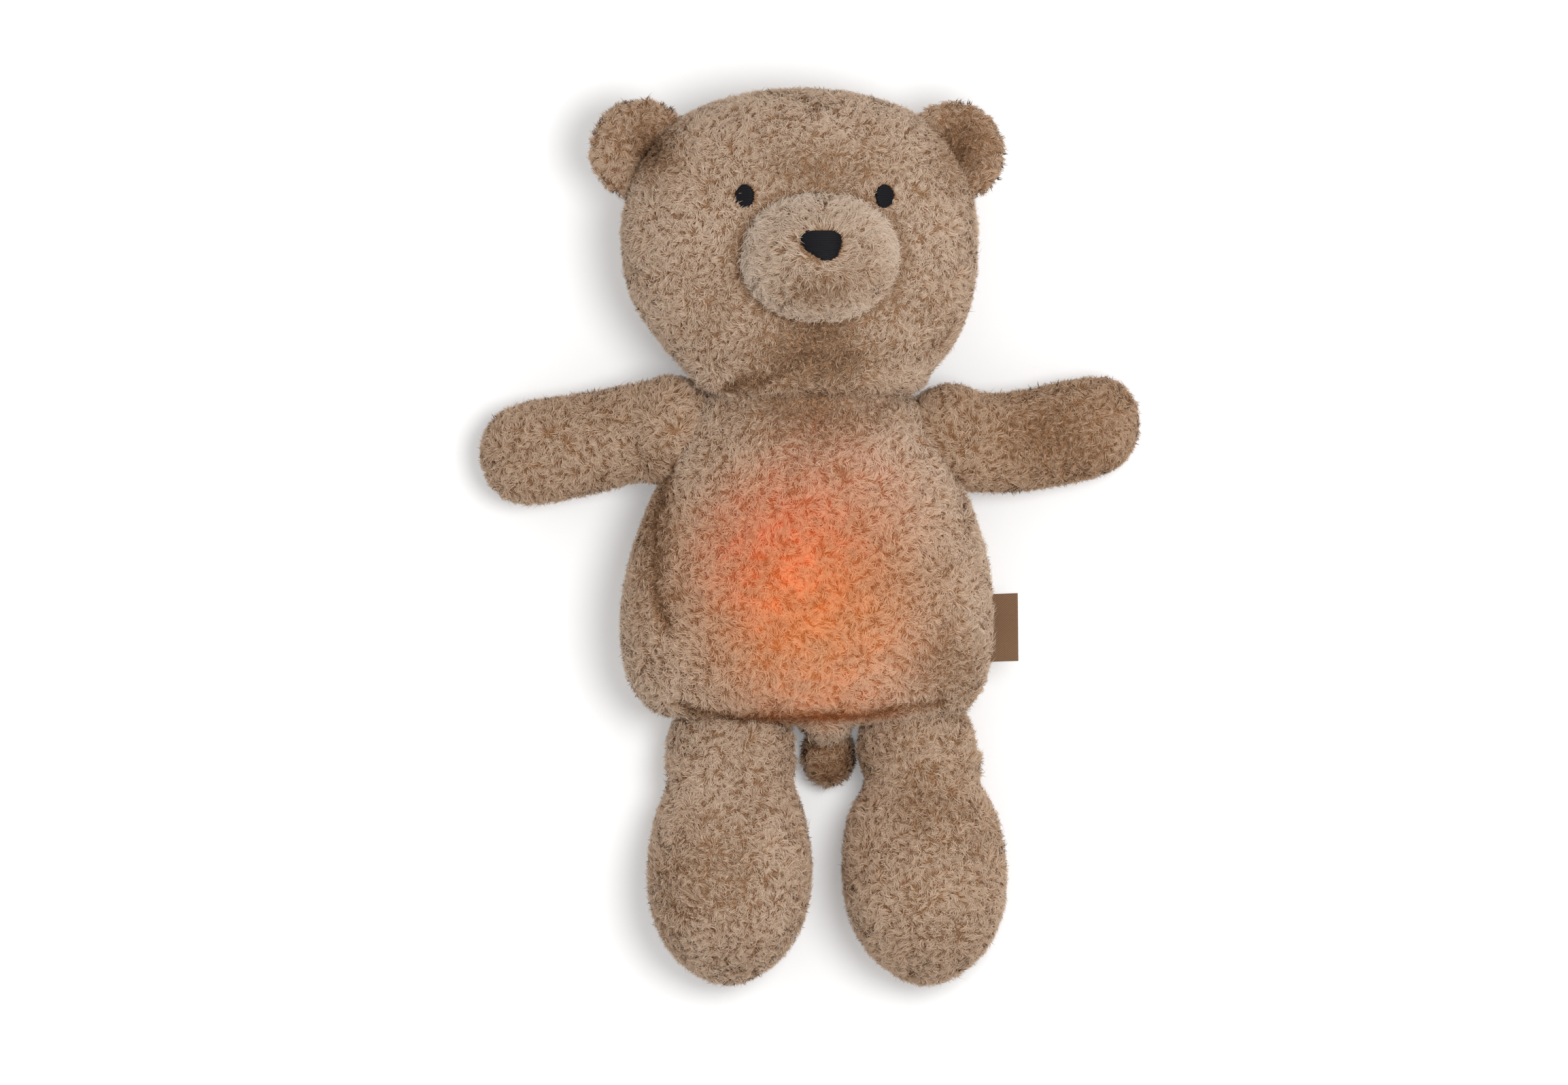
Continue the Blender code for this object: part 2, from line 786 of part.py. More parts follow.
def build_pocket(body):
    flap_top_y = lamp_y + flap_length / 2
    flap_low = (-flap_width / 2, flap_top_y - flap_length)
    strip_y = flap_low[1] + seam_gap
    strip_low = (-mouth_width / 2, strip_y)
    strip_high = (mouth_width / 2, strip_y + strip_width)
    hollow = pocket_form("pocket_cutter", seam_gap)
    recess = box(
        "flap_recess",
        (flap_low[0] - seam_gap, flap_low[1] - seam_gap, -overrun),
        (flap_width / 2 + seam_gap, flap_top_y + seam_gap, flap_top_z + seam_gap),
    )
    mouth = box(
        "mouth_cutter",
        (-mouth_width / 2, lamp_y - mouth_length / 2, -overrun / 2),
        (mouth_width / 2, lamp_y + mouth_length / 2, pocket_base + overrun),
    )
    strip_recess = box(
        "strip_recess",
        (strip_low[0] - seam_gap, strip_low[1] - seam_gap, -overrun / 2),
        (strip_high[0] + seam_gap, strip_high[1] + seam_gap, loop_top_z + seam_gap),
    )
    cut(body, fuse(recess, mouth, strip_recess, hollow))
    piece(body, "body_plush", "plush")

    liner = pocket_form("liner_form", 0)
    inner = pocket_form("liner_inner", -pocket_wall)
    liner_mouth = box(
        "liner_mouth",
        (-mouth_width / 2, lamp_y - mouth_length / 2, 0),
        (mouth_width / 2, lamp_y + mouth_length / 2, case_back_z + overrun),
    )
    fuse(inner, liner_mouth)
    cut(liner, inner)
    piece(liner, "pocket_liner", "lining")

    hinge = Vector((0, flap_top_y, flap_lift))
    flap = box("flap_form", (*flap_low, flap_lift), (flap_width / 2, flap_top_y, flap_top_z))
    piece(flap, "pocket_flap", "plush", hinge, smooth=False)
    hook = box("hook_form", (*strip_low, flap_top_z + seam_gap), (*strip_high, hook_top_z))
    piece(hook, "hook_strip", "hook_and_loop", hinge, smooth=False)
    loop = box("loop_form", (*strip_low, hook_top_z + seam_gap), (*strip_high, loop_top_z))
    piece(loop, "loop_strip", "hook_and_loop", smooth=False)


# Lamp

def column_places():
    reach = lamp_radius - case_wall - column_radius + seam_gap
    return [(reach * math.cos(angle), lamp_y + reach * math.sin(angle)) for angle in column_angles]


def door_screw_y():
    return lamp_y - bay_length / 2 - bay_wall - door_tab_reach / 2


def build_case():
    case = cylinder("case_form", lamp_radius, 0, lamp_y, case_back_z, case_rim_z, 48)
    inside = cylinder(
        "case_inside", lamp_radius - case_wall, 0, lamp_y,
        case_back_z + case_floor, case_rim_z + overrun, 48,
    )
    cut(case, inside)
    bay_top_z = case_back_z + door_recess + bay_depth
    bay_half = (bay_width / 2, bay_length / 2)
    bay_outer = box(
        "bay_outer",
        (-bay_half[0] - bay_wall, lamp_y - bay_half[1] - bay_wall, case_back_z + case_floor / 2),
        (bay_half[0] + bay_wall, lamp_y + bay_half[1] + bay_wall, bay_top_z + bay_wall),
    )
    low_z = case_back_z + case_floor / 2
    posts = [
        cylinder("post", column_radius, x, y, low_z, case_rim_z - seam_gap, 16) for x, y in column_places()
    ]
    for side_x in (-boss_x, boss_x):
        for side_y in (-boss_y, boss_y):
            posts.append(
                cylinder("boss", boss_radius, side_x, lamp_y + side_y, low_z, case_back_z + board_height, 12)
            )
    screw_top_z = case_back_z + screw_head_height + screw_length
    posts.append(
        cylinder(
            "screw_boss", column_radius, 0, door_screw_y(), low_z, screw_top_z + 2 * screw_hole_radius, 16
        )
    )
    fuse(case, bay_outer, *posts)
    cut(
        case,
        box(
            "bay",
            (-bay_half[0], lamp_y - bay_half[1], case_back_z - overrun),
            (bay_half[0], lamp_y + bay_half[1], bay_top_z),
        ),
        *door_blanks(seam_gap, overrun, door_recess),
        cylinder("door_pilot", screw_hole_radius, 0, door_screw_y(), case_back_z, screw_top_z + seam_gap, 12),
    )
    for x, y in column_places():
        pilot_low = case_rim_z + ring_thickness - screw_length - seam_gap
        cut(case, cylinder("pilot", screw_hole_radius, x, y, pilot_low, case_rim_z + overrun, 12))
    piece(case, "rear_shell", "case_plastic")


def door_blanks(gap, below, above):
    """The door's plate and tab, grown by a gap, from below the case's back up to a height."""
    low_z = case_back_z - below
    high_z = case_back_z + above
    half_x = bay_width / 2 + door_ledge
    half_y = bay_length / 2 + door_ledge
    plate = box(
        "door_plate",
        (-half_x - gap, lamp_y - half_y - gap, low_z),
        (half_x + gap, lamp_y + half_y + gap, high_z),
    )
    tab = box(
        "door_tab",
        (-door_tab_width / 2 - gap, door_screw_y() - door_tab_reach / 2 - gap, low_z),
        (door_tab_width / 2 + gap, lamp_y, high_z),
    )
    return plate, tab


def build_door():
    plate, tab = door_blanks(0, 0, door_thickness)
    fuse(plate, tab)
    y = door_screw_y()
    head_z = case_back_z + screw_head_height + seam_gap
    cut(
        plate,
        cylinder("door_hole", screw_hole_radius, 0, y, case_back_z - overrun, case_back_z + case_floor, 12),
        cylinder("door_sink", screw_head_radius + seam_gap, 0, y, case_back_z - overrun, head_z, 16),
    )
    piece(plate, "battery_door", "case_plastic")
    screw = cylinder("screw_head", screw_head_radius, 0, y, case_back_z, case_back_z + screw_head_height, 16)
    shank = cylinder(
        "screw_shank", screw_radius, 0, y, case_back_z + screw_head_height / 2,
        case_back_z + screw_head_height + screw_length, 12,
    )
    fuse(screw, shank)
    piece(screw, "door_screw", "steel")


def battery_profile():
    nub = battery_length - battery_nub_height
    return (
        (0, battery_length),
        (battery_nub_radius, battery_length),
        (battery_nub_radius, nub),
        (battery_radius, nub),
        (battery_radius, 0),
        (0, 0),
    )


def build_batteries():
    middle_z = case_back_z + door_recess + seam_gap + battery_radius
    end = bay_length / 2 - seam_gap
    for k in range(battery_count):
        x = (k - (battery_count - 1) / 2) * battery_pitch
        way = 1 if k % 2 == 0 else -1
        contact_y = sorted((way * end, way * (end - contact_thickness)))
        half = contact_width / 2
        contact = box(
            "contact_form",
            (x - half, lamp_y + contact_y[0], middle_z - half),
            (x + half, lamp_y + contact_y[1], middle_z + half),
        )
        piece(contact, f"battery_contact_{k + 1}", "steel", smooth=False)
        base_y = lamp_y + way * (end - contact_thickness - seam_gap - battery_length)
        cell = turned("battery_form", battery_profile(), (0, 0, 0), 20)
        turn = Matrix.Rotation(-way * math.pi / 2, 4, "X")
        cell.data.transform(Matrix.Translation((x, base_y, middle_z)) @ turn)
        piece(cell, f"battery_{k + 1}", "battery")
        spring = coil(
            "spring_form", (x, lamp_y - way * end, middle_z), (0, way, 0), spring_length,
            spring_radius, spring_tip_radius, spring_wire_radius, spring_turns,
        )
        piece(spring, f"battery_spring_{k + 1}", "steel")


def build_board():
    board = cylinder("board_form", board_radius, 0, lamp_y, board_bottom_z, board_top_z, 40)
    piece(board, "circuit_board", "board")
    base_z = board_top_z + seam_gap
    dome = [(led_radius * math.sin(a), led_height - led_radius + led_radius * math.cos(a))
            for a in (math.radians(15 * k) for k in range(7))]
    profile = dome + [
        (led_radius, led_rim_height),
        (led_radius + led_rim, led_rim_height),
        (led_radius + led_rim, 0),
        (0, 0),
    ]
    for k, colour in enumerate(("coral", "orange", "amber")):
        angle = math.radians(150 + 120 * k)
        centre = (led_ring_radius * math.cos(angle), lamp_y + led_ring_radius * math.sin(angle), base_z)
        piece(turned("led_form", profile, centre, 16), f"led_{colour}", f"led_{colour}")
    half = switch_width / 2
    switch = box("switch_form", (-half, lamp_y - half, base_z), (half, lamp_y + half, base_z + switch_height))
    plunger_low = base_z + switch_height + stem_bottom_gap() - plunger_length
    well = cylinder(
        "switch_well", plunger_radius + seam_gap, 0, lamp_y,
        plunger_low - press_travel - seam_gap, base_z + switch_height + overrun, 16,
    )
    cut(switch, well)
    piece(switch, "power_switch", "switch_plastic", smooth=False)
    plunger_high = plunger_low + plunger_length
    plunger = cylinder("plunger_form", plunger_radius, 0, lamp_y, plunger_low, plunger_high, 16)
    piece(plunger, "switch_plunger", "case_plastic")


def stem_bottom_gap():
    """How far the plunger stands out of the switch at rest: its travel and a little more."""
    return press_travel + seam_gap


def build_cap():
    """Translucent dome with a flange under the ring and a stem over the switch."""
    base_z = board_top_z + seam_gap
    stem_z = base_z + switch_height + stem_bottom_gap() + seam_gap - case_rim_z
    collar_z = stem_z + collar_lift
    inner_radius = dome_radius - dome_wall
    inner_height = dome_height - dome_wall
    steps = [math.radians(10 * k) for k in range(10)]
    outer = [(dome_radius * math.sin(a), dome_height * math.cos(a)) for a in steps]
    inner = [(inner_radius * math.sin(a), inner_height * math.cos(a)) for a in reversed(steps)]
    inner = [point for point in inner if point[0] > stem_radius]
    flange = dome_radius + dome_flange
    profile = outer + [
        (flange, 0),
        (flange, -flange_height),
        (inner_radius, -flange_height),
    ] + inner + [
        (stem_radius, inner_height),
        (stem_radius, collar_z + collar_height),
        (collar_radius, collar_z + collar_height),
        (collar_radius, collar_z),
        (stem_radius, collar_z),
        (stem_radius, stem_z),
        (0, stem_z),
    ]
    piece(turned("cap_form", profile, (0, lamp_y, case_rim_z), 32), "light_cap", "diffuser")
    spring = coil(
        "cap_spring_form", (0, lamp_y, base_z), (0, 0, 1), case_rim_z + collar_z - seam_gap - base_z,
        cap_spring_radius, cap_spring_radius, cap_spring_wire, cap_spring_turns,
    )
    piece(spring, "cap_spring", "steel")


def build_ring():
    low_z = case_rim_z + seam_gap
    high_z = low_z + ring_thickness
    ring = cylinder("ring_form", lamp_radius, 0, lamp_y, low_z, high_z, 48)
    cut(
        ring,
        cylinder("ring_bore", lamp_radius - ring_lip, 0, lamp_y, low_z - overrun, high_z + overrun, 48),
        *[
            cylinder("ring_hole", screw_hole_radius, x, y, low_z - overrun, high_z + overrun, 12)
            for x, y in column_places()
        ],
    )
    piece(ring, "front_ring", "case_plastic")
    head_z = high_z + seam_gap
    for k, (x, y) in enumerate(column_places()):
        screw = cylinder("ring_screw_head", screw_head_radius, x, y, head_z, head_z + screw_head_height, 16)
        shank_top_z = head_z + screw_head_height / 2
        shank = cylinder("ring_screw_shank", screw_radius, x, y, head_z - screw_length, shank_top_z, 12)
        fuse(screw, shank)
        piece(screw, f"ring_screw_{k + 1}", "steel")


def build_toy():
    body = build_plush()
    build_pocket(body)
    build_case()
    build_door()
    build_batteries()
    build_board()
    build_cap()
    build_ring()
    for tool in list(tools.objects):
        bpy.data.objects.remove(tool, do_unlink=True)


build_toy()
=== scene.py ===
"""Looks of a plush bear night light lying on its back: cloth, curly pile, embroidery, lamp and stage.

Metres, +Z up, belly to +Z and head to +Y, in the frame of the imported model.
"""

import json
import math

import bmesh
import bpy
import numpy as np
from bpy.props import FloatProperty, FloatVectorProperty, PointerProperty
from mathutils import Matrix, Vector


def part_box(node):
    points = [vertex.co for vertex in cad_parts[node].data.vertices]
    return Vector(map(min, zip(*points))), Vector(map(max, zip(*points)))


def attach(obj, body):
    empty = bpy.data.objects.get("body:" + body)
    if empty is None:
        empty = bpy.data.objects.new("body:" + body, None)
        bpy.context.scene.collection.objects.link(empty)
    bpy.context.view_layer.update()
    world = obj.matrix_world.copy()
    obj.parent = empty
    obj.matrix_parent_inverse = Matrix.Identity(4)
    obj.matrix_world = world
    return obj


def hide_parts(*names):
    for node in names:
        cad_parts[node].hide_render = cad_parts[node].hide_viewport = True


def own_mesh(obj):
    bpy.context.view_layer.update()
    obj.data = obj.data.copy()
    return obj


bl_info = {
    "name": "Plush bear night light",
    "version": (1, 0, 0),
    "blender": (4, 5, 0),
    "location": "View3D > Sidebar > Plush",
    "description": "Builds the looks of a stuffed bear with a press lamp in its belly",
    "category": "Object",
}

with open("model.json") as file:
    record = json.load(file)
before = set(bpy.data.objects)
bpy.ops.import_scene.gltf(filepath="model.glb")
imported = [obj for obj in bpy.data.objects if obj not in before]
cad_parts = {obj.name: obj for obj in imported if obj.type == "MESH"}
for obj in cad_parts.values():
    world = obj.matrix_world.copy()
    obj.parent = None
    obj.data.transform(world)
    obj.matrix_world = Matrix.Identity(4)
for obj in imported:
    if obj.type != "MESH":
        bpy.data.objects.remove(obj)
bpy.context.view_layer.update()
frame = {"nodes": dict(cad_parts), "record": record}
millimetre = 0.001

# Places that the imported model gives
sides = ("left", "right")
joints = {joint["name"]: joint for joint in frame["record"]["behaviour"]["joints"]}
neck_pivot = np.array(joints["neck_nod"]["pos_m"])
shoulder_pivots = {side: np.array(joints[side + "_shoulder_fold"]["pos_m"]) for side in sides}
hip_pivots = {side: np.array(joints[side + "_hip_fold"]["pos_m"]) for side in sides}


def corners(node):
    """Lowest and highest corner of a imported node."""
    low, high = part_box(node)
    return np.array(low), np.array(high)


# Sizes of the stuffed forms, which are those of the cloth under the pile. The forms reach a little
# below the surface and are pressed flat on it.
floor_cut = 0.0005
socket_gap = 0.0004
seam_gap = 0.0003
head_low, head_high = corners("head_plush")
body_low, body_high = corners("body_plush")
head_width = head_high[0] - head_low[0]
head_depth = head_high[2] + floor_cut
head_length = 0.109
head_x = (head_low[0] + head_high[0]) / 2
body_width = body_high[0] - body_low[0]
body_depth = body_high[2] + floor_cut
body_length = 0.118
body_tuck = 0.004
body_top = head_high[1] - head_length + body_tuck
body_bottom = body_top - body_length
neck_width = 0.070
neck_depth = 0.048
crotch_width = 0.021
crotch_depth = 0.036
crotch_drop = 0.007
crotch_lift = 0.002
arm_reach = 0.0666
arm_width = 0.034
arm_thickness = 0.0325
shoulder_width = 0.037
shoulder_depth = 0.030
leg_length = 0.083
foot_width = 0.055
foot_depth = 0.056
hip_width = 0.043
hip_depth = 0.040
muzzle_low, muzzle_high = corners("muzzle")
ear_width = 0.034
ear_shift = {"left": np.array((-0.0014, -0.0008, 0)), "right": np.array((-0.0008, -0.0016, 0))}
tail_length = 0.020
# The right shoulder and hip are a little narrower than the left ones
slimmer = {"left": 0.0, "right": 0.0035}
toe_out = {"left": -0.001, "right": 0.002}

# A body or head row holds its place along the length, its half width, and the lowest and highest
# point of its depth, all as shares.
body_shares = (
    (0.03, 0.54, 0.12, 0.66),
    (0.125, 0.68, 0.05, 0.77),
    (0.25, 0.78, 0.00, 0.865),
    (0.38, 0.885, 0.00, 0.935),
    (0.53, 0.965, 0.00, 0.99),
    (0.68, 1.00, 0.00, 1.00),
    (0.81, 0.985, 0.00, 0.96),
    (0.915, 0.915, 0.02, 0.84),
    (0.975, 0.74, 0.10, 0.68),
)
# Sideways lean of the body's and the head's rows, in metres
body_lean = (0, 0, 0, -0.0003, -0.0006, -0.0010, -0.0010, -0.0008, 0)
head_lean = (0, 0, -0.0004, -0.0006, -0.0006, 0.0002, 0.0020, 0.0028, 0.0032)
head_shares = (
    (0.02, 0.34, 0.32, 0.70),
    (0.083, 0.65, 0.17, 0.84),
    (0.205, 0.87, 0.05, 0.95),
    (0.37, 0.985, 0.00, 1.00),
    (0.515, 1.00, 0.00, 1.00),
    (0.66, 0.96, 0.00, 0.985),
    (0.79, 0.845, 0.02, 0.95),
    (0.89, 0.70, 0.06, 0.89),
    (0.965, 0.57, 0.15, 0.79),
)
# Place along the leg, half width as a share of the foot's, half depth, and height of the middle
leg_shares = (
    (0.03, 0.77, 0.335, 0.365),
    (0.16, 0.77, 0.335, 0.365),
    (0.30, 0.91, 0.385, 0.42),
    (0.44, 0.99, 0.46, 0.47),
    (0.58, 1.00, 0.50, 0.50),
    (0.72, 0.93, 0.49, 0.49),
    (0.86, 0.72, 0.40, 0.43),
    (0.95, 0.43, 0.25, 0.37),
)
# Place along the arm, half width and half thickness
arm_shares = (
    (0.02, 0.97, 0.86),
    (0.20, 0.95, 0.84),
    (0.42, 0.98, 0.94),
    (0.65, 1.00, 1.00),
    (0.82, 0.94, 0.93),
    (0.93, 0.70, 0.66),
)
# Sideways sway of each arm's rows
arm_sway_shares = {
    "left": (0.0, -0.01, -0.06, -0.10, -0.12, -0.12),
    "right": (-0.02, -0.06, -0.045, 0.0, 0.028, 0.04),
}
# Place up the muzzle, and half width there
muzzle_shares = (
    (0.10, 0.90),
    (0.35, 1.00),
    (0.60, 0.98),
    (0.78, 0.84),
    (0.91, 0.58),
)
# Where an arm has come down to the surface, as a share of its reach
droop_share = 0.65
# How square a section is: 2 is an ellipse
top_power = 2.1
back_power = 3.0


# Curves, sections and noise

def smooth_through(knots, values, at):
    """Cubic curve through the values: each slope is the mean of the two chords beside its knot."""
    knots = np.asarray(knots, float)
    values = np.asarray(values, float).reshape(len(knots), -1)
    steps = np.diff(knots)[:, None]
    chords = np.diff(values, axis=0) / steps
    slopes = np.vstack((chords[:1], (chords[:-1] + chords[1:]) / 2, chords[-1:]))
    cell = np.clip(np.searchsorted(knots, at, side="right") - 1, 0, len(steps) - 1)
    s = ((at - knots[cell]) / steps[cell, 0])[:, None]
    return (
        values[cell] * (1 + 2 * s) * (1 - s) ** 2
        + values[cell + 1] * s * s * (3 - 2 * s)
        + steps[cell] * (slopes[cell] * s * (1 - s) ** 2 - slopes[cell + 1] * s * s * (1 - s))
    )


def lattice(cells, seed):
    """One random number from 0 to 1 for each whole-number cell, the same for the same cell."""
    x, y, z = (cells[..., axis].astype(np.int64) for axis in range(3))
    mixed = (x * 73856093 ^ y * 19349663 ^ z * 83492791 ^ seed * 2654435761) & 0xFFFFFFFF
    mixed = (mixed ^ mixed >> 15) * 2246822519 & 0xFFFFFFFF
    mixed = (mixed ^ mixed >> 13) * 3266489917 & 0xFFFFFFFF
    return ((mixed ^ mixed >> 16) & 0xFFFFFF) / float(0xFFFFFF)


def soft_noise(points, scale, seed):
    """Value noise from -1 to 1: random numbers on a grid of the given step, smoothly joined."""
    place = points / scale
    cell = np.floor(place)
    part = place - cell
    part = part * part * (3 - 2 * part)
    total = 0
    for corner in np.ndindex(2, 2, 2):
        weight = np.prod(np.where(corner, part, 1 - part), axis=-1)
        total = total + weight * lattice(cell + np.array(corner), seed)
    return 2 * total - 1


def unit(vectors):
    """Vectors divided by their lengths."""
    length = np.linalg.norm(vectors, axis=-1, keepdims=True)
    return vectors / np.maximum(length, 1e-12)


def squared(turn, power):
    """An outline between a circle at power 2 and its square at a high power."""
    cosine, sine = np.cos(turn), np.sin(turn)
    bend = 2 / power
    pair = (cosine, sine)
    return np.stack([np.sign(part) * np.abs(part) ** bend for part in pair], axis=-1)


def full_turn(around):
    """Angles round a ring of so many points."""
    return np.linspace(0, 2 * np.pi, around, endpoint=False)


# Height over which the bend on to the surface spreads
floor_softness = 0.0006


def settle_on_floor(points):
    """Presses what would hang below the surface into a thin layer on it, with a smooth bend."""
    points = points.copy()
    z = np.clip(points[..., 2] / floor_softness, -30, 60)
    points[..., 2] = np.where(z > 30, points[..., 2], floor_softness * np.log1p(np.exp(z)))
    return points


# What a form's measure is beyond its tips
far_outside = 9.0


class Form:
    """A stuffed form: soft-cornered sections along one axis, closed to a tip at both ends.

    A section is an ellipse-like outline of its half width and half depth, flatter below if
    lower_power is high. Between the rows its sizes follow a smooth curve.
    """

    def __init__(self, axes, start, length, rows, middles, halves, lower_power=top_power):
        self.along, self.across, self.up = axes
        self.start = start
        self.length = length
        places = np.concatenate(([0], rows, [1]))
        self.knots = np.arccos(1 - 2 * places)
        middles = np.vstack((middles[:1], middles, middles[-1:]))
        halves = np.vstack((np.zeros((1, 2)), halves, np.zeros((1, 2))))
        self.table = np.hstack((middles, halves))
        self.lower_power = lower_power

    def sections(self, angles):
        """Middle and half sizes of the sections: the angle's cosine runs from tip to tip."""
        return smooth_through(self.knots, self.table, angles)

    def surface(self, around, along):
        """Points of the skin: the section's outline by angle round it, for each place along."""
        angles = np.linspace(0, np.pi, along + 1)[1:-1]
        rows = self.sections(angles)
        turn = full_turn(around)
        power = np.where(np.sin(turn) < 0, self.lower_power, top_power)
        side, up = squared(turn, power).T
        grid = np.zeros((len(angles), around, 3))
        grid[..., self.along] = (self.start + self.length * (1 - np.cos(angles)) / 2)[:, None]
        grid[..., self.across] = rows[:, :1] + rows[:, 2:3] * side
        grid[..., self.up] = rows[:, 1:2] + rows[:, 3:4] * up
        tips = np.zeros((2, 3))
        tips[:, self.along] = (self.start, self.start + self.length)
        tips[:, self.across] = self.table[(0, -1), 0]
        tips[:, self.up] = self.table[(0, -1), 1]
        return closed_tube(grid, tips)

    def at(self, points):
        """Share of the length, the section there, and the place across it, for each point."""
        past = (points[:, self.along] - self.start) / self.length
        rows = self.sections(np.arccos(1 - 2 * np.clip(past, 1e-6, 1 - 1e-6)))
        side = np.abs(points[:, self.across] - rows[:, 0]) / np.maximum(rows[:, 2], 1e-5)
        return past, rows, side

    def measure(self, points):
        """Below 1 inside the form and above 1 outside it, as a share of the section's size."""
        past, rows, side = self.at(points)
        up = points[:, self.up] - rows[:, 1]
        power = np.where(up < 0, self.lower_power, top_power)
        up = np.abs(up) / np.maximum(rows[:, 3], 1e-5)
        value = (side ** power + up ** power) ** (1 / power)
        return np.where((past < 0) | (past > 1), far_outside, value)

    def height(self, points):
        """Height of the upper skin over (x, y)."""
        _, rows, side = self.at(points)
        return rows[:, 1] + rows[:, 3] * np.maximum(1 - side ** top_power, 0) ** (1 / top_power)


class Ball:
    """An ellipsoid of three radii along the axes."""

    def __init__(self, centre, radii):
        self.centre = np.asarray(centre, float)
        self.radii = np.asarray(radii, float)

    def surface(self, around=48, along=24, growth=0.0):
        """Points of an ellipsoid by latitude and longitude."""
        angles = np.linspace(0, np.pi, along + 1)[1:-1, None]
        turn = full_turn(around)[None]
        level = np.cos(angles) + 0 * turn
        grid = np.stack((np.sin(angles) * np.cos(turn), np.sin(angles) * np.sin(turn), level), axis=-1)
        radii = self.radii + growth
        tips = np.array(((0, 0, 1), (0, 0, -1))) * radii + self.centre
        return closed_tube(grid * radii + self.centre, tips)

    def measure(self, points):
        """Below 1 inside the ball and above 1 outside it."""
        return np.linalg.norm((points - self.centre) / self.radii, axis=1)


def joint_ball(pivot, axis, width, depth):
    """The ball round a joint: as high as it is deep, and wider along the joint's axis."""
    radii = np.full(3, depth / 2)
    radii[axis] = width / 2
    return Ball(pivot, radii)


def ring_quads(starts, around):
    """Four-cornered faces from each ring of points to the ring after it, given the rings' starts."""
    here = np.arange(around)
    after = (here + 1) % around
    quads = (starts + here, starts + around + here, starts + around + after, starts + after)
    return np.stack(quads, axis=-1).reshape(-1, 4)


def closed_tube(grid, tips):
    """Vertices and faces of rings of points, one ring after another, closed at two tips."""
    rings, around = grid.shape[:2]
    points = np.vstack((grid.reshape(-1, 3), tips))
    quads = ring_quads(np.arange(rings - 1)[:, None] * around, around)
    here = np.arange(around)
    after = (here + 1) % around
    first = np.stack((np.full(around, rings * around), here, after), axis=-1)
    last = (rings - 1) * around
    second = np.stack((np.full(around, rings * around + 1), last + after, last + here), axis=-1)
    return points, quads.tolist() + first.tolist() + second.tolist()


def lengthwise(shares, middle_x, top, length, width, depth):
    """A body or head: sections across the toy's length, from the top down."""
    place, half, low, high = np.array(shares).T
    middles = np.stack((0 * place + middle_x, depth * (low + high) / 2 - floor_cut), axis=1)
    halves = np.stack((width / 2 * half, depth * (high - low) / 2), axis=1)
    return Form((1, 0, 2), top, -length, place, middles, halves, back_power)


def arm(side):
    """An arm reaches out along X from its shoulder and comes down to the surface."""
    pivot = shoulder_pivots[side]
    direction = np.sign(pivot[0])
    place, wide, thick = np.array(arm_shares).T
    sink = shoulder_depth / 6
    hand = arm_thickness / 2 - floor_cut
    settled = np.sin(np.minimum(place / droop_share, 1) * np.pi / 2)
    height = pivot[2] + (hand - pivot[2]) * settled
    sway = pivot[1] + arm_reach * np.array(arm_sway_shares[side])
    rows = (arm_reach * place + sink) / (arm_reach + sink)
    middles = np.stack((sway, height), axis=1)
    halves = np.stack((arm_width / 2 * wide, arm_thickness / 2 * thick), axis=1)
    start = pivot[0] - direction * sink
    return Form((0, 1, 2), start, direction * (arm_reach + sink), rows, middles, halves)


def leg(side):
    """A leg runs down along Y from its hip and swells to the foot."""
    pivot = hip_pivots[side]
    place, wide, thick, height = np.array(leg_shares).T
    sink = hip_depth / 7
    lean = toe_out[side]
    rows = (leg_length * place + sink) / (leg_length + sink)
    middles = np.stack((pivot[0] + lean * place, foot_depth * height - floor_cut), axis=1)
    slim = slimmer[side] / 2 * (place < 0.3)
    halves = np.stack((foot_width / 2 * wide - slim, foot_depth * thick), axis=1)
    return Form((1, 0, 2), pivot[1] + sink, -(leg_length + sink), rows, middles, halves)


def muzzle_dome():
    """The muzzle stands up along Z: a pad with a rounded front."""
    place, half = np.array(muzzle_shares).T
    base = head_depth / 2
    middles = np.tile((muzzle_low + muzzle_high)[:2] / 2, (len(place), 1))
    size = (muzzle_high - muzzle_low)[:2] / 2
    return Form((2, 0, 1), base, muzzle_high[2] - base, place, middles, half[:, None] * size)


# Middle, reach across and along, and depth of tone of the painted shade spots of the front, where
# shade falls: under the muzzle and the chin, on the chest and forehead, below and right of the nose,
# on the right and left cheek, in both ears, on the right arm, along the left gusset, low on the right
# of the belly, on both legs and on the tail. They darken nothing below the lowest place.
painted_shade_low = 0.012
painted_shade_spots = (
    (0.003, 0.0722, 0.018, 0.0046, 1.00),
    (0.002, 0.0640, 0.026, 0.0110, 0.95),
    (0.002, 0.0455, 0.030, 0.0120, 0.70),
    (0.002, 0.1290, 0.026, 0.0100, 0.50),
    (0.004, 0.0840, 0.020, 0.0095, 0.62),
    (0.024, 0.0880, 0.010, 0.0120, 0.66),
    (0.0460, 0.0740, 0.012, 0.0130, 0.35),
    (-0.0300, 0.0830, 0.012, 0.0150, 0.35),
    (-0.0555, 0.1370, 0.011, 0.0130, 0.90),
    (0.0540, 0.1370, 0.011, 0.0140, 0.85),
    (0.0860, 0.0360, 0.026, 0.0160, 0.60),
    (-0.0540, -0.0020, 0.008, 0.0260, 0.65),
    (0.0480, -0.0450, 0.013, 0.0140, 0.50),
    (-0.0340, -0.1190, 0.019, 0.0150, 0.50),
    (0.0410, -0.0960, 0.016, 0.0200, 0.35),
    (0.0085, -0.0830, 0.012, 0.0100, 0.60),
)
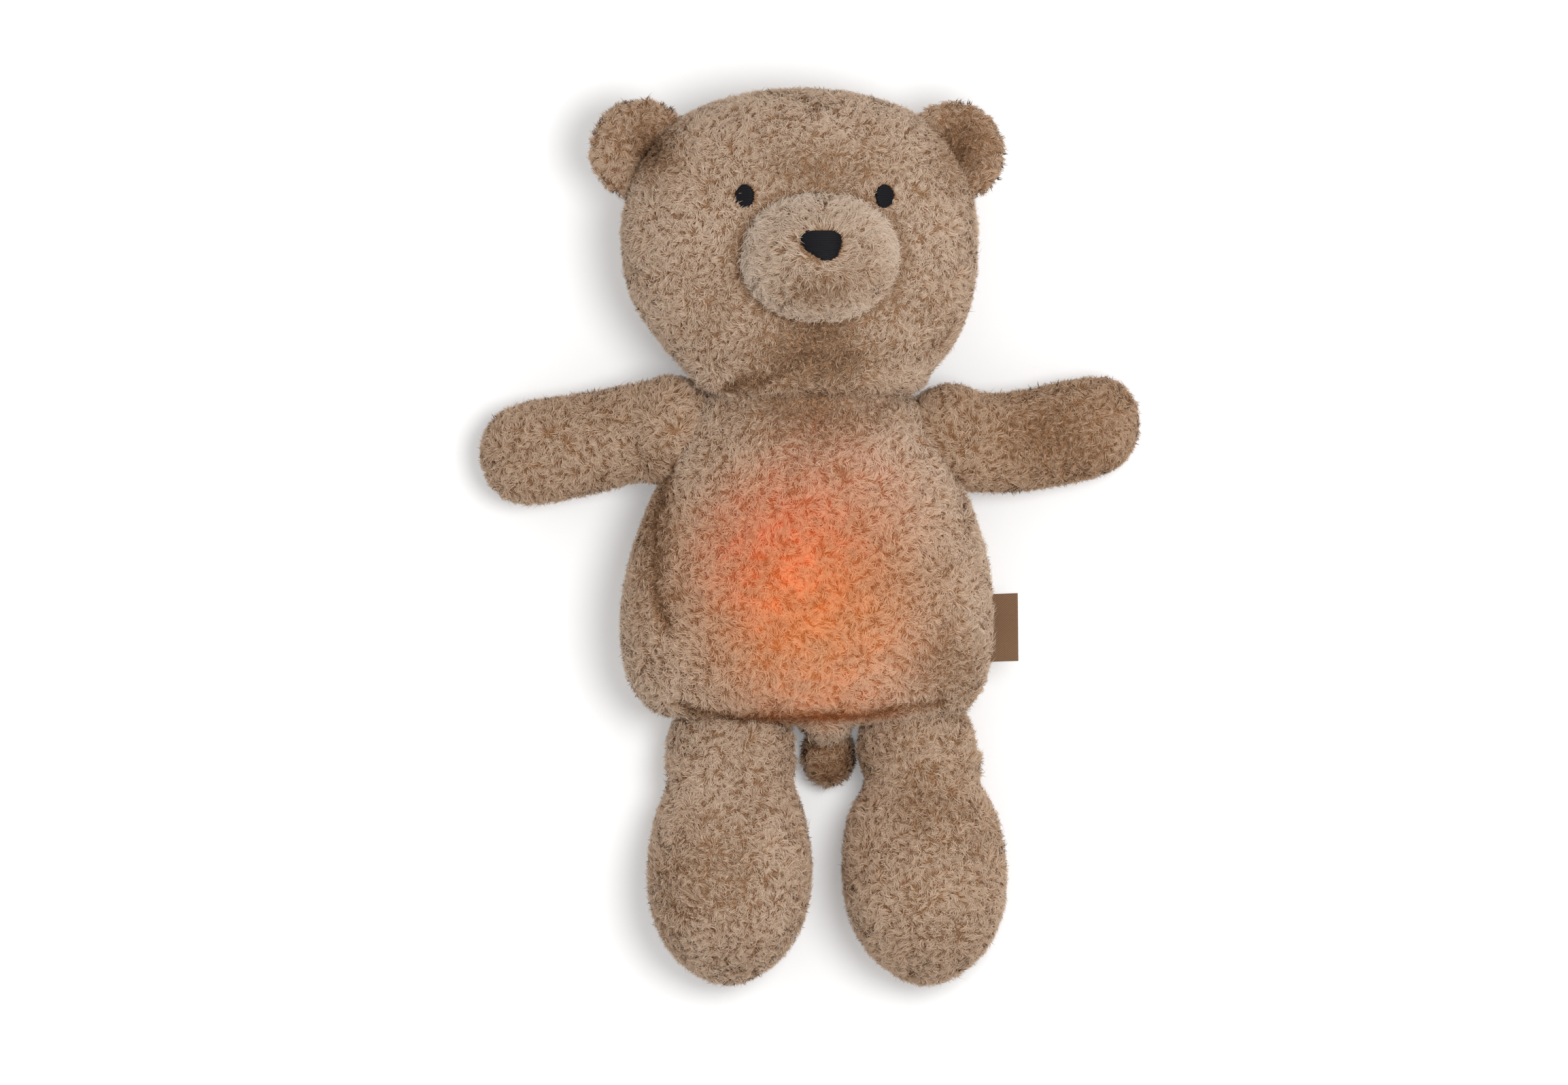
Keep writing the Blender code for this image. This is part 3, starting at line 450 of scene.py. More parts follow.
# Paths of the sewn folds over the front, the width of each valley and the lowest place that it
# marks: under the chin to the left cheek, down the chest, across the foot of the belly, and down
# its left side. The pile along them is darkened with painted shade.
fold_depth = 0.0020
folds = (
    (((-0.0290, 0.0530), (-0.0075, 0.0595), (0.0010, 0.0705)), 0.0036, 0.045),
    (((0.0024, 0.0560), (0.0030, 0.0390)), 0.0024, 0.045),
    (
        ((-0.0434, -0.0600), (-0.0240, -0.0632), (-0.0040, -0.0632), (0.0205, -0.0622), (0.0480, -0.0570)),
        0.0022,
        0.030,
    ),
    (((-0.0480, 0.0260), (-0.0540, 0.0060), (-0.0545, -0.0160), (-0.0500, -0.0330)), 0.0028, 0.030),
)

body = lengthwise(body_shares, np.array(body_lean), body_top, body_length, body_width, body_depth)
head_middle = head_x + np.array(head_lean)
head = lengthwise(head_shares, head_middle, head_high[1], head_length, head_width, head_depth)
muzzle = muzzle_dome()
arms = {side: arm(side) for side in sides}
legs = {side: leg(side) for side in sides}
neck_ball = joint_ball(neck_pivot, 0, neck_width, neck_depth)
shoulder_balls = {
    side: joint_ball(pivot - (0, slimmer[side] / 3, 0), 1, shoulder_width - slimmer[side], shoulder_depth)
    for side, pivot in shoulder_pivots.items()
}
hip_balls = {
    side: joint_ball(pivot - (slimmer[side] / 2, 0, 0), 0, hip_width - slimmer[side], hip_depth)
    for side, pivot in hip_pivots.items()
}


# Materials

class Nodes:
    """Adds shader nodes to a material and joins them by socket name."""

    def __init__(self, name):
        self.material = bpy.data.materials.new(name)
        self.material.use_nodes = True
        self.tree = self.material.node_tree
        self.shader = self.tree.nodes["Principled BSDF"]

    @classmethod
    def on(cls, tree, shader):
        """The same helper for a node tree that is there already."""
        nodes = cls.__new__(cls)
        nodes.tree = tree
        nodes.shader = shader
        return nodes

    def add(self, kind, inputs=None, **settings):
        """A shader node of a kind, with its inputs and settings."""
        node = self.tree.nodes.new("ShaderNode" + kind)
        for key, value in settings.items():
            setattr(node, key, value)
        for key, value in (inputs or {}).items():
            self.put(node, key, value)
        return node

    def put(self, node, key, value):
        """Joins an input to another node's output, or sets it to a value."""
        if isinstance(value, bpy.types.NodeSocket):
            self.tree.links.new(value, node.inputs[key])
        else:
            node.inputs[key].default_value = value

    def math(self, operation, *values):
        """One operation on one to three numbers."""
        node = self.add("Math", operation=operation)
        for index, value in enumerate(values):
            self.put(node, index, value)
        return node.outputs[0]

    def mix(self, share, first, second, blend="MIX"):
        """Two colours mixed by a share."""
        node = self.add("Mix", data_type="RGBA", blend_type=blend)
        self.put(node, 0, share)
        self.put(node, 6, first if isinstance(first, bpy.types.NodeSocket) else (*first, 1))
        self.put(node, 7, second if isinstance(second, bpy.types.NodeSocket) else (*second, 1))
        return node.outputs[2]

    def ramp(self, value, stops):
        """A colour from a row of stops, each a place from 0 to 1 and a colour."""
        node = self.add("ValToRGB", {"Fac": value})
        node.color_ramp.elements[0].position = stops[0][0]
        node.color_ramp.elements[0].color = (*stops[0][1], 1)
        node.color_ramp.elements[1].position = stops[-1][0]
        node.color_ramp.elements[1].color = (*stops[-1][1], 1)
        for place, colour in stops[1:-1]:
            node.color_ramp.elements.new(place).color = (*colour, 1)
        return node.outputs[0]

    def place(self):
        """The place on the piece, in metres."""
        return self.add("TexCoord").outputs["Object"]

    def coordinate(self, axis):
        """One coordinate of the place."""
        return self.add("SeparateXYZ", {0: self.place()}).outputs[axis]

    def span(self, value, start, end, low=0.0, high=1.0, ease="LINEAR"):
        """A number that goes from low to high while the value goes from start to end."""
        inputs = {"Value": value, "From Min": start, "From Max": end, "To Min": low, "To Max": high}
        return self.add("MapRange", inputs, interpolation_type=ease).outputs[0]

    def noise(self, scale, detail=3, vector=None):
        """Noise with so many cells to the metre."""
        inputs = {"Vector": vector or self.place(), "Scale": scale, "Detail": detail}
        return self.add("TexNoise", inputs).outputs["Fac"]

    def cells(self, scale, distance):
        """Distance from the middles of so many cells to the metre."""
        inputs = {"Vector": self.place(), "Scale": scale}
        return self.add("TexVoronoi", inputs, distance=distance).outputs["Distance"]

    def bump(self, height, depth, strength=1.0):
        """Raises the surface by up to a depth in metres."""
        inputs = {"Strength": strength, "Distance": depth, "Height": height}
        node = self.add("Bump", inputs)
        self.put(self.shader, "Normal", node.outputs[0])

    def finish(self, **inputs):
        """Sets the shader's inputs, named with _ for a space, and gives the material."""
        for key, value in inputs.items():
            self.put(self.shader, key.replace("_", " "), value)
        return self.material


def scaled(colour, factor):
    """A colour times a factor, no brighter than white."""
    return tuple(min(1.0, part * factor) for part in colour)


# The lamp lights the belly's front: heights where its light starts and is whole
glow_low = 0.026
glow_high = 0.046


def glow_mask(nodes, centre, radius):
    """1 at the centre of a lamp's patch of light and 0 at its edge, seen from the front."""
    flat = nodes.add("VectorMath", {0: nodes.place(), 1: (1, 1, 0)}, operation="MULTIPLY").outputs[0]
    apart = nodes.add("VectorMath", {0: flat, 1: (*centre, 0)}, operation="DISTANCE").outputs["Value"]
    return nodes.span(apart, radius, 0.0, ease="SMOOTHERSTEP")


def lamp_light(nodes, patches):
    """Sum of the lamps' patches of light: each its colour times its mask."""
    light = grey(0.0)
    for colour, place, reach in patches:
        patch = nodes.mix(glow_mask(nodes, place, reach), grey(0.0), tuple(colour))
        light = nodes.mix(1.0, light, patch, "ADD")
    return light


def toned(colour, factors):
    """A colour with each of its parts times a factor."""
    return tuple(part * factor for part, factor in zip(colour, factors))


def grey(level):
    """A colour without a tint."""
    return (level, level, level)


# What full painted shade keeps of the pile's colour, and how much of it each piece gets, more on
# the right arm and leg than the left: the head and the body get none
painted_shade_factors = (0.84, 0.76, 0.68)
painted_shade_shares = {
    "arm_left": 0.7,
    "arm_right": 0.95,
    "leg_left": 0.3,
    "leg_right": 0.55,
    "ear": 0.7,
    "tail": 1.0,
    "flap": 0.6,
}


def with_painted_shade(colour, share):
    """Between the pile's own colour at 0 and the warmer, darker one of full painted shade at 1."""
    return toned(colour, (1 - share * (1 - deep) for deep in painted_shade_factors))


def pile_material(name, colour, lit=False):
    """Curled acrylic pile: its tone runs across U and root to tip runs along V of the strand map."""
    nodes = Nodes(name)
    strand = nodes.add("UVMap", uv_map="strand").outputs[0]
    parts = nodes.add("SeparateXYZ", {0: strand}).outputs
    # Roots are darker and warmer as painted shade deep in the pile, and tips paler and greyer as a painted
    # highlight
    root = toned(colour, (0.76, 0.54, 0.38))
    tip = toned(colour, (1.12, 1.20, 1.30))
    shade = nodes.ramp(parts[1], ((0.0, root), (0.5, tuple(colour)), (1.0, tip)))
    # Low tones carry painted shade, high ones the painted highlight, and both the chance between strands and
    # tufts
    dark = (0.16, 0.095, 0.055)
    light = (1.20, 1.27, 1.35)
    tones = ((0.0, dark), (0.3, (0.62, 0.51, 0.41)), (0.62, grey(1.0)), (1.0, light))
    shade = nodes.mix(1.0, shade, nodes.ramp(parts[0], tones), "MULTIPLY")
    shade, glow = with_glow(nodes, shade, parts[1]) if lit else (shade, {})
    return nodes.finish(
        Base_Color=shade,
        Roughness=0.85,
        Specular_IOR_Level=0.15,
        Sheen_Weight=0.15,
        Sheen_Roughness=0.4,
        **glow,
    )


def with_glow(nodes, shade, along):
    """Adds the lamps' light through the belly: strongest down between the curls, which it reddens.

    Gives the reddened colour, and the shader's inputs for the light.
    """
    glow = bpy.context.scene.bear_glow
    lamps = ("coral", "orange", "amber")
    patches = [[getattr(glow, lamp + part) for part in ("", "_place", "_reach")] for lamp in lamps]
    light = lamp_light(nodes, patches)
    depth = nodes.ramp(along, ((0.0, grey(1.0)), (0.5, grey(0.75)), (1.0, grey(0.34))))
    light = nodes.mix(1.0, light, depth, "MULTIPLY")
    broken = nodes.ramp(nodes.noise(150.0, 3), ((0.3, grey(0.62)), (0.7, grey(1.35))))
    light = nodes.mix(1.0, light, broken, "MULTIPLY")
    front = nodes.span(nodes.coordinate(2), glow_low, glow_high, ease="SMOOTHSTEP")
    light = nodes.mix(front, grey(0.0), light)
    wide = nodes.math("MULTIPLY", front, glow_mask(nodes, glow.tint_place, glow.tint_reach))
    shade = nodes.mix(1.0, shade, nodes.mix(wide, grey(1.0), tuple(glow.tint)), "MULTIPLY")
    return shade, {"Emission_Color": light, "Emission_Strength": 1.0}


def cloth_material(name, colour, lit=False):
    """Backing of the pile with the tangle of its shortest hairs, darker than the pile over it as painted
    shade.
    """
    nodes = Nodes(name)
    hairs = {"Vector": nodes.place(), "Scale": 1100.0, "Detail": 3.0, "Distortion": 2.2}
    tangle = nodes.add("TexNoise", hairs).outputs["Fac"]
    broad = nodes.noise(60.0, 3)
    # The backing is darker and warmer than the pile as painted shade between the strands
    warm = toned(colour, (0.58, 0.44, 0.33))
    pale = toned(colour, (0.98, 0.88, 0.78))
    shade = nodes.ramp(tangle, ((0.36, scaled(warm, 0.55)), (0.50, warm), (0.64, pale)))
    shade = nodes.mix(nodes.math("MULTIPLY", broad, 0.3), shade, scaled(warm, 0.7))
    nodes.bump(tangle, 0.0006)
    glow = {}
    if lit:
        shade, glow = with_glow(nodes, shade, nodes.math("MULTIPLY", broad, 0.2))
    return nodes.finish(Base_Color=shade, Roughness=0.95, Specular_IOR_Level=0.1, **glow)


# Meshes

def placed(name, mesh, material):
    """Puts a mesh with its material into the scene."""
    mesh.materials.append(material)
    obj = bpy.data.objects.new(name, mesh)
    bpy.context.scene.collection.objects.link(obj)
    return obj


def fitted(obj, body, node=None):
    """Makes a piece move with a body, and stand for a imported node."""
    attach(obj, body)
    if node:
        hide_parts(node)
    return obj


def walled(obj, thickness):
    """Gives a sheet its thickness, half to each side."""
    wall = obj.modifiers.new("wall", "SOLIDIFY")
    wall.thickness = thickness
    wall.offset = 0


def mesh_object(name, points, faces, material):
    """A closed piece from points and faces, with its faces turned outwards."""
    mesh = bpy.data.meshes.new(name)
    mesh.from_pydata(points.tolist(), [], faces)
    shape = bmesh.new()
    shape.from_mesh(mesh)
    bmesh.ops.recalc_face_normals(shape, faces=shape.faces)
    shape.to_mesh(mesh)
    shape.free()
    mesh.shade_smooth()
    return placed(name, mesh, material)


def boolean(obj, surface, operation):
    """Joins a closed surface to a piece, or cuts it away, and keeps the result as its mesh."""
    other = mesh_object("tool", *surface, obj.data.materials[0])
    modifier = obj.modifiers.new("cut", "BOOLEAN")
    modifier.operation = operation
    modifier.solver = "EXACT"
    modifier.object = other
    graph = bpy.context.evaluated_depsgraph_get()
    mesh = bpy.data.meshes.new_from_object(obj.evaluated_get(graph))
    obj.modifiers.clear()
    obj.data = mesh
    bpy.data.objects.remove(other, do_unlink=True)


def press_down(obj):
    """Presses a piece's underside flat where it lies on the surface."""
    mesh = obj.data
    points = np.zeros(len(mesh.vertices) * 3)
    mesh.vertices.foreach_get("co", points)
    mesh.vertices.foreach_set("co", settle_on_floor(points.reshape(-1, 3)).ravel())
    mesh.update()


# Pile

# A strand's rows as shares of its length, and its width in the middle of each stretch
strand_rows = np.array((0.0, 0.52, 1.0))
strand_taper = np.array((0.85, 1.0))
strand_sink = 0.0004
# How a strand leans at its root and further over in each stretch, in radians
strand_lean = (0.45, 1.0)
# How far a tuft's strands turn aside together and bend over together, and each strand's own stray
tuft_start = -0.8
tuft_turn = 2.2
tuft_bend = 0.5
own_turn = 0.28
own_roll = 0.25
# How far ribbons turn up to the sky, over what distance the pile's lie drifts, and how far drift
# and chance turn it
sky_share = 0.7
drift_scale = 0.008
drift_lean = 0.8
stray_lean = 0.15
# How firmly the strands of a fan lean outwards
fan_share = 0.9
# Chance in a strand's length and width, and how much shorter it is in the shade and at a tuft's rim
length_chance = 0.16
width_chance = (0.7, 1.35)
shade_short = 0.35
rim_short = 0.45
# A strand is lit as if it faced outwards and up, and a little as its ribbon faces
outward_share = 0.85
ribbon_share = 0.35
# Margins of the strand map and of a strand's patch in its cell, and a strand's breadth in the map
map_share = 0.96
map_margin = 0.02
patch_share = 0.9
patch_margin = 0.05
map_breadth = 0.004
# Faces that look down past this are the underside, with fewer, wider and longer strands
under_level = -0.25
under_share = 0.4
under_widen = 1.7
under_lengthen = 1.15
# Mean distance of a strand from its tuft's middle, as a share of the tuft
rim_mean = 0.42
# Tone of the pile, and what moves it: the tuft, its neighbourhood over some distance, painted shade
# at the tuft's rim and in the shade, a painted highlight, and chance
middle_tone = 0.62
tuft_tones = 0.14
drift_reach = 0.012
drift_tones = 0.08
rim_shade_tones = 0.42
shade_tones = 0.55
stray_tones = 0.11
painted_light_tones = 0.28


def scattered(surface, density, rng):
    """Random places on a closed surface, as many for each area, with the normals there."""
    points, faces = surface
    triangles = np.array(
        [(face[0], face[k], face[k + 1]) for face in faces for k in range(1, len(face) - 1)]
    )
    a, b, c = (points[triangles[:, k]] for k in range(3))
    cross = np.cross(b - a, c - a)
    area = np.linalg.norm(cross, axis=1) / 2
    middle = points.mean(0)
    volume = np.einsum("ij,ij->i", a - middle, cross).sum()
    normals = np.zeros_like(points)
    for k in range(3):
        np.add.at(normals, triangles[:, k], cross)
    normals = unit(normals) * np.sign(volume)
    count = int(area.sum() * density / millimetre ** 2)
    chosen = rng.choice(len(triangles), count, p=area / area.sum())
    first = np.sqrt(rng.random(count))
    second = rng.random(count)
    weights = np.stack((1 - first, first * (1 - second), first * second), axis=1)
    corner = triangles[chosen]
    places = np.einsum("ij,ijk->ik", weights, points[corner])
    facing = unit(np.einsum("ij,ijk->ik", weights, normals[corner]))
    return places, facing


def tufts(places, step):
    """The tuft of curls at each place: the nearest of one random point in each cell of a grid.

    Gives that point, and its cell, from which the tuft's own random numbers come.
    """
    home = np.floor(places / step)
    nearest = np.full(len(places), np.inf)
    middles = np.zeros_like(places)
    cells = np.zeros_like(places)
    for shift in np.ndindex(3, 3, 3):
        cell = home + np.array(shift) - 1
        middle = (cell + np.stack([lattice(cell, seed) for seed in (21, 22, 23)], axis=-1)) * step
        apart = ((places - middle) ** 2).sum(-1)
        closer = apart < nearest
        nearest[closer] = apart[closer]
        middles[closer] = middle[closer]
        cells[closer] = cell[closer]
    return middles, cells


def along_surface(vectors, facing):
    """The part of each vector that lies along the surface."""
    return vectors - facing * np.einsum("ij,ij->i", vectors, facing)[:, None]


def combed(places, facing, cells, rng, flow=None):
    """Directions along the surface that curls lean to: alike in a tuft, and drifting between tufts."""
    own = np.stack([lattice(cells, seed) for seed in (1, 2, 3)], axis=1) * 2 - 1
    drift = np.stack([soft_noise(places, drift_scale, seed) for seed in (4, 5, 6)], axis=1)
    field = unit(own) + drift_lean * unit(drift) + rng.normal(0, stray_lean, places.shape)
    if flow is not None:
        field = field + flow
    return unit(along_surface(field, facing))


def strands(places, facing, combs, gather, length, width, curl, sky, rng):
    """Vertices and shading normals of curled strands, each a narrow ribbon in two stretches.

    Each stretch leans further over than the one below it and turns a little to one side, so a
    strand rises, bends over and curls. Its rise and reach add cosines and sines of the lean, and
    it gathers towards its tuft's middle with the square of its place along the strand. Curl holds
    how far the strands of each tuft turn aside and bend over alike. A ribbon stands for a round
    fibre, so it is turned about its length to face outwards and up.
    """
    count = len(places)
    side = np.cross(facing, combs)
    lean = rng.uniform(*strand_lean, count)
    turn = tuft_start * curl[0]
    middle = places - facing * strand_sink
    rows = [middle]
    for share in np.diff(strand_rows):
        across = combs * np.cos(turn)[:, None] + side * np.sin(turn)[:, None]
        step = facing * np.cos(lean)[:, None] + across * np.sin(lean)[:, None]
        middle = middle + step * (length * share)[:, None]
        rows.append(middle)
        lean = lean + rng.uniform(*strand_lean, count) + tuft_bend * curl[1]
        turn = turn + tuft_turn * curl[0] + rng.normal(0, own_turn, count)
    middle = np.stack(rows, axis=1) + gather[:, None] * (strand_rows ** 2)[:, None]
    tangent = unit(np.diff(middle, axis=1, append=2 * middle[:, -1:] - middle[:, -2:-1]))
    open_way = unit(facing + np.array((0, 0, sky)))[:, None]
    flat = unit(open_way - tangent * (open_way * tangent).sum(-1, keepdims=True))
    roll = rng.normal(0, own_roll, count)[:, None, None]
    breadth = np.cross(flat, tangent) * np.cos(roll) + flat * np.sin(roll)
    normals = unit(open_way * outward_share + flat * ribbon_share)
    breadth = breadth[:, :-1] * (width[:, None] * strand_taper / 2)[..., None]
    pairs = np.stack((middle[:, :-1] - breadth, middle[:, :-1] + breadth), axis=2)
    points = np.concatenate((pairs.reshape(count, -1, 3), middle[:, -1:]), axis=1)
    return points, np.concatenate((np.repeat(normals[:, :-1], 2, axis=1), normals[:, -1:]), axis=1)


def pile_piece(name, points, normals, tones, material, cells=None):
    """One mesh of many strands, with their tone and root-to-tip place in a UV map.

    Cells are the low corner, step and number of a grid over the front: each strand's own patch of
    the second map lies in the cell of its root, so that what is painted by place can be baked.
    """
    count = len(points)
    corner = np.array((2, 3, 1, 0, 4, 3, 2))
    starts = np.array((0, 4))
    strand = np.arange(count)[:, None]
    tip = len(strand_rows) * 2 - 2
    mesh = bpy.data.meshes.new(name)
    mesh.vertices.add(count * (tip + 1))
    mesh.vertices.foreach_set("co", points.reshape(-1).astype(np.float32))
    mesh.loops.add(count * len(corner))
    mesh.loops.foreach_set("vertex_index", (strand * (tip + 1) + corner).ravel().astype(np.int32))
    mesh.polygons.add(count * len(starts))
    mesh.polygons.foreach_set("loop_start", (strand * len(corner) + starts).ravel().astype(np.int32))
    along = strand_rows[corner // 2]
    across = np.where(corner == tip, 0, corner % 2 * 2 - 1) * map_breadth
    u = np.clip(tones[:, None] * map_share + map_margin + across, 0, 1)
    v = np.broadcast_to(along * map_share + map_margin, u.shape)
    write_map(mesh, "strand", u, v)
    if cells is not None:
        low, step, number = cells
        cell = np.floor((points[:, 0, :2] - low) / step)
        u = (cell[:, :1] + u * patch_share + patch_margin) / number
        v = (cell[:, 1:] + v * patch_share + patch_margin) / number
    write_map(mesh, "OFBake", u, v)
    mesh.update(calc_edges=True)
    mesh.shade_smooth()
    shading = mesh.attributes.new("custom_normal", "FLOAT_VECTOR", "POINT")
    shading.data.foreach_set("vector", normals.reshape(-1).astype(np.float32))
    return placed(name, mesh, material)


def write_map(mesh, name, u, v):
    """One UV map from the places of all corners."""
    layer = mesh.uv_layers.new(name=name)
    layer.data.foreach_set("uv", np.stack((u, v), axis=-1).ravel().astype(np.float32))


# Stuffed pieces

def fold_shade(places):
    """1 on a sewn fold and 0 well away from it: a bell curve of the distance to its path."""
    total = np.zeros(len(places))
    for path, width, floor_level in folds:
        path = np.asarray(path)
        nearest = np.full(len(places), np.inf)
        for start, end in zip(path[:-1], path[1:]):
            span = end - start
            share = np.clip(((places[:, :2] - start) @ span) / (span @ span), 0, 1)
            apart = np.linalg.norm(places[:, :2] - start - share[:, None] * span, axis=1)
            nearest = np.minimum(nearest, apart)
        bell = np.exp(-((nearest / width) ** 2)) * (places[:, 2] > floor_level)
        total = np.maximum(total, bell)
    return total


def shaded(places):
    """How far the pile is darkened with painted shade: on the folds, and at the painted shade spots."""
    total = fold_shade(places)
    for x, y, across, along, share in painted_shade_spots:
        apart = ((places[:, 0] - x) / across) ** 2 + ((places[:, 1] - y) / along) ** 2
        total = np.maximum(total, share * np.exp(-apart) * (places[:, 2] > painted_shade_low))
    return total


def folded(surface, depth):
    """Draws the skin down along the sewn folds."""
    points, faces = surface
    points = points.copy()
    points[:, 2] -= depth * fold_shade(points)
    return points, faces


# How firmly strands are pushed off the embroidery, and how fast that fades with the distance
parting = 2.2
parting_fade = 1.2
parting_most = 1.1


def parted(places, facing, combs):
    """Turns the strands round the embroidery outwards, so that they don't cover it."""
    for middle, half in face_patches().values():
        away = np.zeros_like(places)
        away[:, :2] = places[:, :2] - middle
        distance = np.linalg.norm(away[:, :2] / half, axis=1)
        push = np.clip(parting - parting_fade * distance, 0, parting_most)
        push *= places[:, 2] > head_depth / 2
        combs = combs + unit(away) * push[:, None]
    return unit(along_surface(combs, facing))


# Where the painted shade round the muzzle's foot ends and over how much of that it fades, as shares
# of its size, then how dark it is beside the muzzle, what it gains below and what it loses at the
# lit right
trough_end = 1.3
trough_fade = 0.2
trough_beside = 0.70
trough_below = 0.30
trough_right = 0.22


def painted_shade_round(places, form):
    """How far the pile is darkened with painted shade round a form that stands on it: most below, least at
    its lit right.
    """
    apart = form.measure(places)
    away = unit((places - (*form.table[0, :2], 0)) * (1, 1, 0))
    below = trough_below * np.clip(-away[:, 1], 0, 1) ** 2
    share = trough_beside + below - trough_right * np.clip(away[:, 0], 0, 1)
    return share * np.clip((trough_end - apart) / trough_fade, 0, 1)


def hidden_by(points, forms):
    """True where a place lies inside one of the other stuffed forms."""
    inside = np.zeros(len(points), bool)
    for form in forms:
        inside |= form.measure(points) < 1
    return inside


def sprout(
    name,
    surface,
    inside,
    body_name,
    finish,
    split=None,
    cells=None,
    keep=None,
    density=1.0,
    length=1.0,
    relief=1.0,
    sky=sky_share,
    fan=None,
    beside=None,
    brighter=None,
):
    """Grows the pile of one stuffed piece, and splits it into pieces of a workable size.

    No strand roots inside the other forms given, or where keep is false. Density, length and relief
    are shares of the usual pile's. The strands lean away from a fan's middle, get painted shade
    beside a form and a painted highlight where brighter is 1.
    """
    pile = bpy.context.scene.bear_pile
    rng = np.random.default_rng(sum(map(ord, name)))
    places, facing = scattered(surface, pile.density * density, rng)
    open_side = ~hidden_by(places + facing * strand_sink, inside)
    if keep is not None:
        open_side &= keep(places)
    open_side &= (facing[:, 2] > under_level) | (rng.random(len(places)) < under_share)
    places = places[open_side]
    facing = facing[open_side]
    middles, cells_of = tufts(places, pile.tuft)
    flow = None if fan is None else unit((places - fan) * (1, 1, 0)) * fan_share
    combs = combed(places, facing, cells_of, rng, flow)
    if keep is off_the_face:
        combs = parted(places, facing, combs)
    # Painted shade on the folds, in the painted shade spots and round a form standing beside
    shade = shaded(places)
    if beside is not None:
        shade = np.maximum(shade, painted_shade_round(places, beside))
    inward = along_surface(middles - places, facing)
    rim = np.linalg.norm(inward, axis=1) / pile.tuft - rim_mean
    spread = rng.lognormal(0, length_chance, len(places))
    reach = pile.length * length * spread * (1 - shade_short * shade) * (1 - rim_short * rim)
    width = pile.thickness * rng.uniform(*width_chance, len(places))
    below = facing[:, 2] <= under_level
    width[below] *= under_widen
    reach[below] *= under_lengthen
    curl = np.stack([lattice(cells_of, seed) for seed in (7, 8)]) - 0.5
    points, normals = strands(places, facing, combs, inward * pile.gather, reach, width, curl, sky, rng)
    points = settle_on_floor(points)
    # Tone: chance per tuft and neighbourhood, painted shade at the tuft's rim and in the shade, and a
    # painted highlight where brighter
    own = (lattice(cells_of, 11) - 0.5) * tuft_tones
    own = own + soft_noise(places, drift_reach, 12) * drift_tones
    own = (own - rim_shade_tones * rim) * relief
    tones = middle_tone + own - shade_tones * shade + rng.normal(0, stray_tones, len(places))
    if brighter is not None:
        tones = tones + painted_light_tones * brighter(places)
    tones = np.clip(tones, 0, 1)
    groups = split(places) if split else {"pile": np.ones(len(places), bool)}
    pieces = []
    for part, chosen in groups.items():
        picked = (rows[chosen] for rows in (points, normals, tones))
        piece = pile_piece(f"{name}_{part}", *picked, finish, cells)
        pieces.append(fitted(piece, body_name))
    return pieces


def front_and_back(middle_x):
    """Splits a large form's pile at its middle line and at half the body's depth."""
    def split(places):
        front = places[:, 2] > body_depth / 2
        left = places[:, 0] < middle_x
        return {
            "pile_front_left": front & left,
            "pile_front_right": front & ~left,
            "pile_back_left": ~front & left,
            "pile_back_right": ~front & ~left,
        }
    return split


def stuffed_skin(name, node, surface, body_name, material, join=(), cut=()):
    """The cloth of one stuffed piece: joined to its root, cut for its neighbours and pressed flat where it
    lies.
    """
    skin = mesh_object(name, *surface, material)
    for other in join:
        boolean(skin, other, "UNION")
    for other in cut:
        boolean(skin, other, "DIFFERENCE")
    press_down(skin)
    fitted(skin, body_name, node)


# Settings

class BearPile(bpy.types.PropertyGroup):
    """Strands of the pile"""
    length: FloatProperty(
        name="Strand length", description="Length of one curled strand", default=0.0035, unit="LENGTH"
    )
    thickness: FloatProperty(
        name="Strand width", description="Width of one strand", default=0.00021, unit="LENGTH"
    )
    density: FloatProperty(
        name="Strands per square millimetre", description="How closely strands stand", default=5.6
    )
    tuft: FloatProperty(
        name="Tuft size",
        description="Distance over which strands curl alike",
        default=0.0018,
        unit="LENGTH",
    )
    gather: FloatProperty(
        name="Gather", description="How far tips draw to their tuft's middle", default=0.30
    )
    colour: FloatVectorProperty(
        name="Pile colour", description="Middle of a strand", subtype="COLOR", default=(0.645, 0.47, 0.335)
    )
    muzzle_colour: FloatVectorProperty(
        name="Muzzle colour",
        description="Pile of the muzzle",
        subtype="COLOR",
        default=(0.595, 0.440, 0.318),
    )


def lamp_colour(name, where, default):
    """Colour of one lamp's light."""
    return FloatVectorProperty(name=name, description=where, subtype="COLOR", default=default)


def lamp_place(name, default):
    """Place of one lamp's patch of light, seen from the front."""
    where = "Middle of the patch of light"
    return FloatVectorProperty(name=name, description=where, size=2, default=default, unit="LENGTH")


def lamp_reach(name, default):
    """Reach of one lamp's patch of light."""
    return FloatProperty(name=name, description="How far the patch spreads", default=default, unit="LENGTH")


class BearGlow(bpy.types.PropertyGroup):
    """Light of the lamps through the belly"""
    coral: lamp_colour("Coral light", "Light left of the middle", (0.22, 0.010, 0.001))
    coral_place: lamp_place("Coral place", (-0.0130, -0.0070))
    coral_reach: lamp_reach("Coral reach", 0.044)
    orange: lamp_colour("Orange light", "Light above the middle", (0.105, 0.005, 0.0))
    orange_place: lamp_place("Orange place", (0.0080, 0.0100))
    orange_reach: lamp_reach("Orange reach", 0.050)
    amber: lamp_colour("Amber light", "Light low on the belly", (0.24, 0.046, 0.001))
    amber_place: lamp_place("Amber place", (0.0045, -0.0380))
    amber_reach: lamp_reach("Amber reach", 0.054)
    tint: lamp_colour("Lit pile", "What the light leaves of the pile's own colour", (0.90, 0.61, 0.39))
    tint_place: lamp_place("Tint place", (-0.0020, -0.0170))
    tint_reach: lamp_reach("Tint reach", 0.079)


